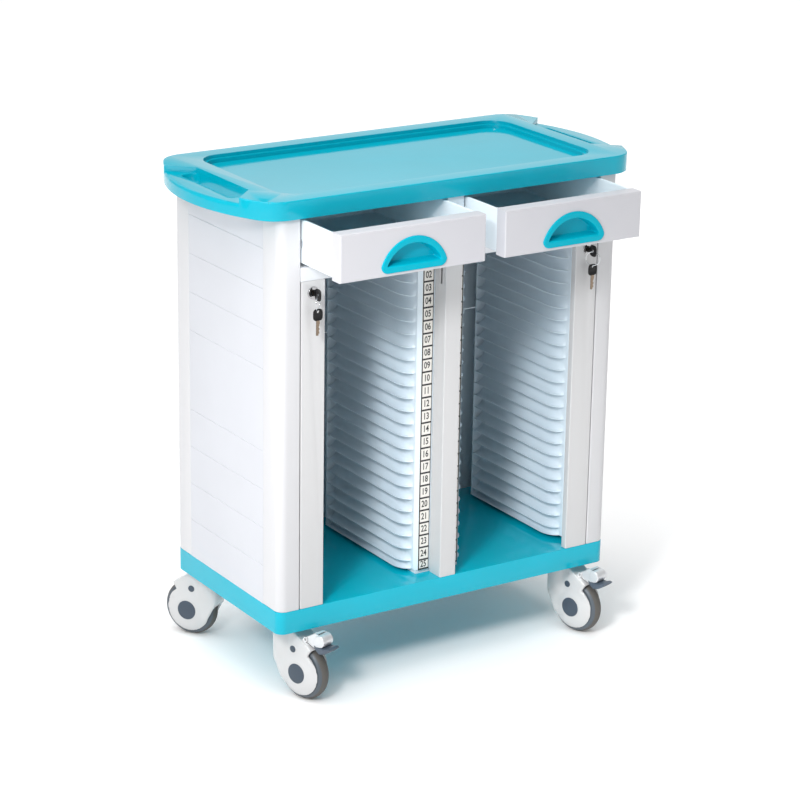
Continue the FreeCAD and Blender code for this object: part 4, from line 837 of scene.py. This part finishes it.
def keys(name, side):
    """The key in the lock, edge on to the front, and its spare on a ring through its eye."""
    x = side * LOCK_SIDE
    edge_on = [[0, 1, 0], [1, 0, 0], [0, 0, 1]]
    head = moved(bow(0.0), edge_on, (x, BOW_MIDDLE_Y, LOCK_UP))
    shank = boxes([x - SHANK_HALF_THICK, x + SHANK_HALF_THICK, SHANK_FRONT, SHANK_BACK,
                   LOCK_UP - SHANK_HALF_WIDE, LOCK_UP + SHANK_HALF_WIDE])
    made(f"{name}_key_bow", [head, shank], "black_key", f"{name}_lock", (f"{name}_key",))
    blade = boxes([x - BLADE_HALF_THICK, x + BLADE_HALF_THICK, BLADE_FRONT, BLADE_BACK,
                   LOCK_UP - BLADE_HALF_WIDE, LOCK_UP + BLADE_HALF_WIDE])
    made(f"{name}_key_blade", [blade], "key_metal", f"{name}_lock")
    made(f"{name}_key_ring", [key_ring(side)], "chrome", f"{name}_keyring", (f"{name}_spare_key",))
    hung = moved(bow(SPARE_EYE_OFFSET), None, (x, BOW_MIDDLE_Y, SPARE_BOW_UP))
    made(f"{name}_spare_bow", [hung], "black_key", f"{name}_keyring")
    made(f"{name}_spare_blade", [spare_blade(x)], "key_metal", f"{name}_keyring")


def locks():
    """Both locks with their keys."""
    for name, side in SIDES.items():
        lock(name, side)
        dress(f"{name}_lock_plug", "black_key")
        keys(name, side)


# Casters

# Each caster: where its swivel is, to the right of and behind the cabinet's middle, and its heading.
CASTERS = {
    "front_left": (-285.0, -124.5, 18.0),
    "front_right": (285.0, -124.5, 16.0),
    "rear_left": (-285.0, 149.0, 213.0),
    "rear_right": (285.0, 149.0, 205.0),
}
AXLE_AHEAD = 37.0
AXLE_UP = 50.0
NEAR_AXIS = 0.01


def at_caster(part, place):
    """From a caster's own frame, ahead, across and up, to the cabinet's."""
    x, y, heading = CASTERS[place]
    h = math.radians(heading)
    matrix = [[math.sin(h), math.cos(h), 0], [-math.cos(h), math.sin(h), 0], [0, 0, 1]]
    return moved(part, matrix, (x, y, 0))


def on_axle(profile, place, steps, ahead=AXLE_AHEAD, up=AXLE_UP):
    """A profile of radius and place across, turned about a line across the caster."""
    lying = [[1, 0, 0], [0, 0, 1], [0, -1, 0]]
    return at_caster(moved(turned(profile, steps), lying, (ahead, 0, up)), place)


def disc(radius, low, high, rounding, steps):
    """The half section of a disc from one face to the other, with rounded rims."""
    profile = [(NEAR_AXIS, low), (radius, low), (radius, high), (NEAR_AXIS, high)]
    return rounded_steps(profile, rounding, steps)


# Caster housings

HOUSING_VOXEL = 1.0
HOUSING_HALF = 20.0
HOUSING_TOP = 127.5
CHEEK_RADIUS = 41.0
CHEEK_OVERRUN = 0.5
CHEEK_SUNK = 0.6
CHEEK_RISE = (15.0, 45.0)
CHEEK_FALL = (190.0, 230.0)
DOME_HALF = 22.0
DOME_SAG = 7.9
WELL_SKIN = 14.0
WELL_SKIN_THICK = 0.4
NECK_RADIUS = 26.0
NECK_LENGTH = 34.0
NECK_FADE = 34.0
NECK_LAP = 1.0
NECK_SUNK = 0.2
NECK_DEPTH = 4.0
EVEN_SHARE = 0.5
EVEN_PASSES = 6
SIDE_SKIN = 12.4
SIDE_PASSES = 40


def cheek_fill(sign):
    """
    The cheek's dome carried over to the flat flank: in each direction about the axle the place
    across is the dome's, plus a share of what it falls short of the flank. The share is one from
    ahead over the top to the back and nothing below.
    """
    radii = np.linspace(NEAR_AXIS, CHEEK_RADIUS + CHEEK_OVERRUN, 24)
    radius, angle = np.meshgrid(radii, np.linspace(0, TURN, 97), indexing="ij")
    turn = np.degrees(angle)
    rise = np.clip((turn - CHEEK_RISE[0]) / (CHEEK_RISE[1] - CHEEK_RISE[0]), 0, 1)
    fall = np.clip((CHEEK_FALL[1] - turn) / (CHEEK_FALL[1] - CHEEK_FALL[0]), 0, 1)
    share = smooth_step(rise) * smooth_step(fall)
    dome = DOME_HALF - DOME_SAG * (radius / CHEEK_RADIUS) ** 2 - CHEEK_SUNK
    out = dome + share * np.maximum(0.0, HOUSING_HALF - dome)
    ahead = AXLE_AHEAD + radius * np.cos(angle)
    up = AXLE_UP + radius * np.sin(angle)
    outer = np.stack([ahead, sign * np.maximum(out, WELL_SKIN), up], -1)
    inner = np.stack([ahead, np.full_like(ahead, sign * (WELL_SKIN - WELL_SKIN_THICK)), up], -1)
    return between(outer, inner)


def neck_fill(sign):
    """The round neck carried down into the flank: its bulge fades with the height's smooth step."""
    reach = math.sqrt(NECK_RADIUS ** 2 - HOUSING_HALF ** 2)
    ahead, t = np.meshgrid(np.linspace(-reach, reach, 25), np.linspace(0, 1, 17), indexing="ij")
    bulge = np.sqrt(NECK_RADIUS ** 2 - ahead ** 2) - HOUSING_HALF
    out = HOUSING_HALF - NECK_SUNK + bulge * (1 - smooth_step(t))
    up = HOUSING_TOP - NECK_LENGTH + NECK_LAP - NECK_FADE * t
    outer = np.stack([ahead, sign * out, up], -1)
    inner = np.stack([ahead, np.full_like(ahead, sign * (HOUSING_HALF - NECK_DEPTH)), up], -1)
    return between(outer, inner)


def filled_housing(place):
    """One even mesh over a housing and its fills, made of small cells."""
    node = f"{place}_caster_housing"
    fills = [part for sign in (1.0, -1.0) for part in cheek_fill(sign) + neck_fill(sign)]
    extra = shaped(node + "_fill", [at_caster(part, place) for part in fills])
    bm = bmesh.new()
    bm.from_mesh(welded_copy(node))
    bm.from_mesh(extra.data)
    joined = bpy.data.meshes.new(node + "_joined")
    bm.to_mesh(joined)
    bm.free()
    bpy.data.objects.remove(extra)
    rough = linked(node + "_rough", joined)
    skin = rough.modifiers.new("even skin", "REMESH")
    skin.mode = "VOXEL"
    skin.voxel_size = HOUSING_VOXEL * MM
    bpy.context.view_layer.update()
    mesh = bpy.data.meshes.new_from_object(rough.evaluated_get(bpy.context.evaluated_depsgraph_get()))
    bpy.data.objects.remove(rough)
    return mesh


def housing(place):
    """
    A caster housing with an even skin. Every point is drawn towards its neighbours' mean, which
    rounds the edges, and on the two sides the place across goes on being evened out, so that the
    domed cheek runs into the neck without a step.
    """
    mesh = filled_housing(place)
    edges = np.zeros(len(mesh.edges) * 2, dtype=np.int64)
    mesh.edges.foreach_get("vertices", edges)
    edges = edges.reshape(-1, 2)
    x, y, heading = CASTERS[place]
    h = math.radians(heading)
    across = np.array([math.cos(h), math.sin(h), 0.0])
    middle = (np.array([x, y, 0.0]) + CABINET_SHIFT) * MM
    points = eased(vertex_points(mesh), edges, EVEN_SHARE, EVEN_PASSES)
    beside = (points - middle) @ across / MM
    share = np.where(np.abs(beside) > SIDE_SKIN, EVEN_SHARE, 0.0)[:, None]
    evened = eased(points, edges, share, SIDE_PASSES)
    points = points + ((evened - points) @ across)[:, None] * across
    mesh.vertices.foreach_set("co", points.ravel())
    mesh.update()
    mesh.shade_smooth()
    obj = linked(f"{place}_housing_skin", mesh)
    settle(obj, "caster_shell", f"{place}_swivel", (f"{place}_caster_housing",))


# Wheels

WHEEL_RADIUS = 50.0
TREAD_HALF = 11.7
TREAD_FALL = 6.2
TREAD_POWER = 2.2
TREAD_INSIDE = 41.0
TYRE_INSIDE = 36.0
SHOULDER = 0.74
WHEEL_STEPS = 128
HUB_ROUND = 1.0
CAP_RADIUS = 17.6
CAP_FACES = (20.0, 22.5)
CAP_ROUND = 0.8
PLUG_RADIUS = 6.0
PLUG_FACES = (19.0, 20.9)
PLUG_ROUND = 0.6
PLUG_AHEAD = AXLE_AHEAD - 9.0
PLUG_UP = AXLE_UP + 42.0

# Radius and place across: a shallow ring on the tyre's wall, and the centre from its bore to its rim.
TYRE_WALL = [(TYRE_INSIDE, 11.8), (37.2, 12.4), (40.0, 12.5), (41.2, 12.1), (42.4, 12.3)]
WHEEL_CENTRE = np.array([(4.1, 12.4), (13.0, 12.4), (13.0, 6.0), (34.0, 6.0), (36.2, 11.0)])


def tread_point(share):
    """The crowned tread: it falls away from its middle with a power of the way across."""
    share = np.asarray(share, float)
    return np.stack([WHEEL_RADIUS - TREAD_FALL * np.abs(share) ** TREAD_POWER, TREAD_HALF * share], -1)


def tread_profile():
    """The tyre's running face between its shoulders, closed by a straight inner side."""
    face = tread_point(np.linspace(SHOULDER, -SHOULDER, 19))
    inside = [(TREAD_INSIDE, face[-1, 1]), (TREAD_INSIDE, face[0, 1])]
    return np.concatenate([face, inside, face[:1]])


def sidewall_profile():
    """One side of the tyre: a shallow ring on its wall, and the round shoulder up to the tread."""
    shoulder = tread_point(np.linspace(1.0, SHOULDER, 6))
    inside = [(TREAD_INSIDE, shoulder[-1, 1]), (TYRE_INSIDE, shoulder[-1, 1]), TYRE_WALL[0]]
    return np.concatenate([TYRE_WALL, shoulder, inside])


def axle_caps(place):
    """The axle's round cap and the small plug above it, on both sides."""
    parts = []
    for sign in (1, -1):
        cap = disc(CAP_RADIUS, *CAP_FACES, CAP_ROUND, 3) * (1, sign)
        parts.append(on_axle(cap, place, 64))
        plug = disc(PLUG_RADIUS, *PLUG_FACES, PLUG_ROUND, 3) * (1, sign)
        parts.append(on_axle(plug, place, 32, PLUG_AHEAD, PLUG_UP))
    return parts


def wheels():
    """Every caster: its tyre, its wheel's centre, its housing and its caps."""
    centre = np.concatenate([WHEEL_CENTRE, WHEEL_CENTRE[::-1] * (1, -1), WHEEL_CENTRE[:1]])
    centre = rounded_steps(centre, HUB_ROUND, 2)
    for place in CASTERS:
        body = f"{place}_wheel"
        tread = on_axle(tread_profile(), place, WHEEL_STEPS)
        made(f"{place}_tread", [tread], "tyre", body, (f"{place}_caster_wheel",))
        walls = [on_axle(sidewall_profile() * (1, sign), place, WHEEL_STEPS) for sign in (1, -1)]
        made(f"{place}_tyre_walls", walls, "tyre_wall", body)
        made(f"{place}_wheel_centre", [on_axle(centre, place, 64)], "slate_cap", body)
        housing(place)
        axle = f"{place}_caster_axle"
        made(f"{place}_axle_caps", axle_caps(place), "slate_cap", f"{place}_swivel", (axle,))


# Brake pedals

STRAP_HALF_THICK = 0.8
STRAP_OFFSET = 10.6
STRAP_HALF_WIDE = 11.2
STRAP_CREASE = 25.0
ROLLER_RADIUS = 10.8
ROLLER_HALF = 12.6
ROLLER_ROUND = 2.4
ROLLER_AHEAD = 79.5
ROLLER_UP = 116.5
FOOT_BACK = 68.0
FOOT_LENGTH = 37.0
FOOT_HALF = 13.8
FOOT_CROWN = 1.2
FOOT_BELLY = 1.8
FOOT_CREASE = 40.0

# Side views of the strap, as places ahead and up: its two cheeks and the band over them.
STRAP_CHEEK = [(44.0, 109.0), (50.0, 117.5), (70.0, 128.5), (80.0, 127.0), (85.0, 118.0), (80.0, 106.0),
               (68.0, 103.0), (56.0, 107.5)]
STRAP_BAND = [(50.0, 116.2), (50.0, 117.6), (70.0, 128.8), (74.0, 128.2), (73.4, 126.9), (70.0, 127.2)]

# Along the foot, as shares of its length: the heights of its top and of its underside.
FOOT_SHARES = (0.0, 0.12, 0.35, 0.6, 0.85, 1.0)
FOOT_TOPS = (108.0, 106.0, 107.0, 106.5, 109.5, 109.0)
FOOT_UNDERS = (104.0, 98.0, 93.5, 96.0, 102.0, 106.5)

# Along the foot again: where its width changes, and the shares of its half width there.
FOOT_WIDTH_STATIONS = (0.0, 0.3, 0.8, 1.0)
FOOT_WIDTH_SHARES = (0.86, 1.0, 1.0, 0.8)


def prism(outline, half, place, offset=0.0):
    """A flat plate across the caster from a side view of places ahead and up."""
    outline = np.asarray(outline, float)
    ring = np.stack([outline[:, 0], np.full(len(outline), offset), outline[:, 1]], -1)
    return at_caster(capped(ring - (0, half, 0), ring + (0, half, 0)), place)


def brake_foot(place):
    """
    A foot rest over a grid along and across it: the top and the underside pass evenly between the
    heights at their stations, and both draw in at the sides with the fourth power of the way across.
    """
    along = np.linspace(0, 1, 25)
    over = np.linspace(-1, 1, 15)
    width = FOOT_HALF * np.interp(along, FOOT_WIDTH_STATIONS, FOOT_WIDTH_SHARES)
    x = np.broadcast_to((FOOT_BACK + FOOT_LENGTH * along)[:, None], (25, 15))
    y = width[:, None] * over[None, :]
    draw = (over ** 4)[None, :]
    upper = np.stack([x, y, np.interp(along, FOOT_SHARES, FOOT_TOPS)[:, None] - FOOT_CROWN * draw], -1)
    lower = np.stack([x, y, np.interp(along, FOOT_SHARES, FOOT_UNDERS)[:, None] + FOOT_BELLY * draw], -1)
    return [at_caster(part, place) for part in between(upper, lower)]


def brakes():
    """The pedals of the front casters: a bent strap, its roller and a foot rest."""
    for name in SIDES:
        place = f"front_{name}"
        body = f"{place}_brake"
        straps = [prism(STRAP_CHEEK, STRAP_HALF_THICK, place, offset)
                  for offset in (-STRAP_OFFSET, STRAP_OFFSET)]
        straps.append(prism(STRAP_BAND, STRAP_HALF_WIDE, place))
        made(f"{place}_brake_strap", straps, "brake_metal", body, (f"{place}_brake_pedal",), STRAP_CREASE)
        roller = disc(ROLLER_RADIUS, -ROLLER_HALF, ROLLER_HALF, ROLLER_ROUND, 5)
        turned_roller = on_axle(roller, place, 64, ROLLER_AHEAD, ROLLER_UP)
        made(f"{place}_brake_roller", [turned_roller], "brake_metal", body)
        made(f"{place}_brake_foot", brake_foot(place), "brake", body, (), FOOT_CREASE)


# Stage, light and camera, in metres

FLOOR_REACH = 60.0
FLOOR_ROUGHNESS = 0.6
ROOM_LIGHT = 0.30
WHITE = (1.0, 1.0, 1.0, 1.0)
OVERHEAD_POWER = 2.4
OVERHEAD_SPREAD = 70.0
OVERHEAD_TILT = (6.0, -20.0)
SPOT_POWER = 250
SPOT_CONE = 24.0
SPOT_RADIUS = 0.30
SPOT_PLACE = (-2.05, -1.65, 2.1)
SPOT_TARGET = (0.05, -0.14, 0.32)
VIEW_AZIMUTH = 32.763
VIEW_ELEVATION = 18.486
VIEW_ROLL = 0.938
VIEW_LENS = 122.08
VIEW_PLACE = (-2.4185, -3.7421, 1.9382)
SENSOR_WIDTH = 36.0
VIEW_REACH = 100.0


def stage():
    """A plain white floor under an even white sky."""
    floor = bpy.data.meshes.new("floor")
    corners = [(x * FLOOR_REACH, y * FLOOR_REACH, 0) for x, y in ((-1, -1), (1, -1), (1, 1), (-1, 1))]
    floor.from_pydata(corners, [], [(0, 1, 2, 3)])
    material, _, _, bsdf = blank("studio_floor")
    bsdf.inputs["Base Color"].default_value = WHITE
    bsdf.inputs["Roughness"].default_value = FLOOR_ROUGHNESS
    bsdf.inputs["Specular IOR Level"].default_value = 0.0
    floor.materials.append(material)
    linked("floor", floor)
    world = bpy.data.worlds.new("studio")
    world.use_nodes = True
    sky = world.node_tree.nodes["Background"]
    sky.inputs["Color"].default_value = WHITE
    sky.inputs["Strength"].default_value = ROOM_LIGHT
    bpy.context.scene.world = world


def placed(obj, right, up, back, place):
    """Sets an object's three axes and its place."""
    matrix = np.eye(4)
    matrix[:3] = np.stack([right, up, back, place], -1)
    obj.matrix_world = Matrix(matrix.tolist())


def aim(obj, place, target):
    """Puts a lamp at a place and turns it to a target."""
    place = np.asarray(place, float)
    away = place - np.asarray(target, float)
    away /= np.linalg.norm(away)
    side = np.cross((0, 0, 1), away)
    side /= np.linalg.norm(side)
    placed(obj, side, np.cross(away, side), away, place)


def lamp(name, place, target, size, power):
    """A rectangle of soft light that the camera doesn't see."""
    light = bpy.data.lights.new(name, "AREA")
    light.shape = "RECTANGLE"
    light.size, light.size_y = size
    light.energy = power
    obj = linked(name, light)
    aim(obj, place, target)
    obj.visible_camera = False


def overhead():
    """Broad light from above and a little from the left, the same over the whole floor."""
    light = bpy.data.lights.new("overhead", "SUN")
    light.energy = OVERHEAD_POWER
    light.angle = math.radians(OVERHEAD_SPREAD)
    tilt_x, tilt_y = (math.radians(v) for v in OVERHEAD_TILT)
    linked("overhead", light).rotation_euler = (tilt_x, tilt_y, 0)


def low_spot():
    """A soft round light on the bays from the front left, above the drawers."""
    light = bpy.data.lights.new("low_spot", "SPOT")
    light.energy = SPOT_POWER
    light.spot_size = math.radians(SPOT_CONE)
    light.spot_blend = 1.0
    light.shadow_soft_size = SPOT_RADIUS
    aim(linked("low_spot", light), SPOT_PLACE, SPOT_TARGET)


def lights():
    """The room's lamps."""
    overhead()
    lamp("window", (-2.5, -1.5, 1.3), (0, 0, 0.5), (2.0, 1.8), 20)
    low_spot()
    lamp("rear_wall", (2.3, 3.4, 2.3), (0, 0, 0.9), (8.0, 3.4), 54)


def camera():
    """The photograph's place, aim and roll."""
    azimuth, elevation, roll = (math.radians(v) for v in (VIEW_AZIMUTH, VIEW_ELEVATION, VIEW_ROLL))
    level = math.cos(elevation)
    forward = np.array([math.sin(azimuth) * level, math.cos(azimuth) * level, -math.sin(elevation)])
    right = np.array([math.cos(azimuth), -math.sin(azimuth), 0.0])
    up = np.cross(right, forward)
    rolled_right = math.cos(roll) * right + math.sin(roll) * up
    rolled_up = -math.sin(roll) * right + math.cos(roll) * up
    lens = bpy.data.cameras.new("view")
    lens.lens = VIEW_LENS
    lens.sensor_width = SENSOR_WIDTH
    lens.sensor_fit = "HORIZONTAL"
    lens.clip_end = VIEW_REACH
    view = linked("view", lens)
    placed(view, rolled_right, rolled_up, -forward, VIEW_PLACE)
    bpy.context.scene.camera = view


mouldings()
coated_sheets()
metals()
cabinet()
guide_walls()
labels()
drawers()
for name, side in SIDES.items():
    curtain(name, side)
locks()
wheels()
brakes()
stage()
lights()
camera()
bpy.context.scene.view_settings.view_transform = "Standard"
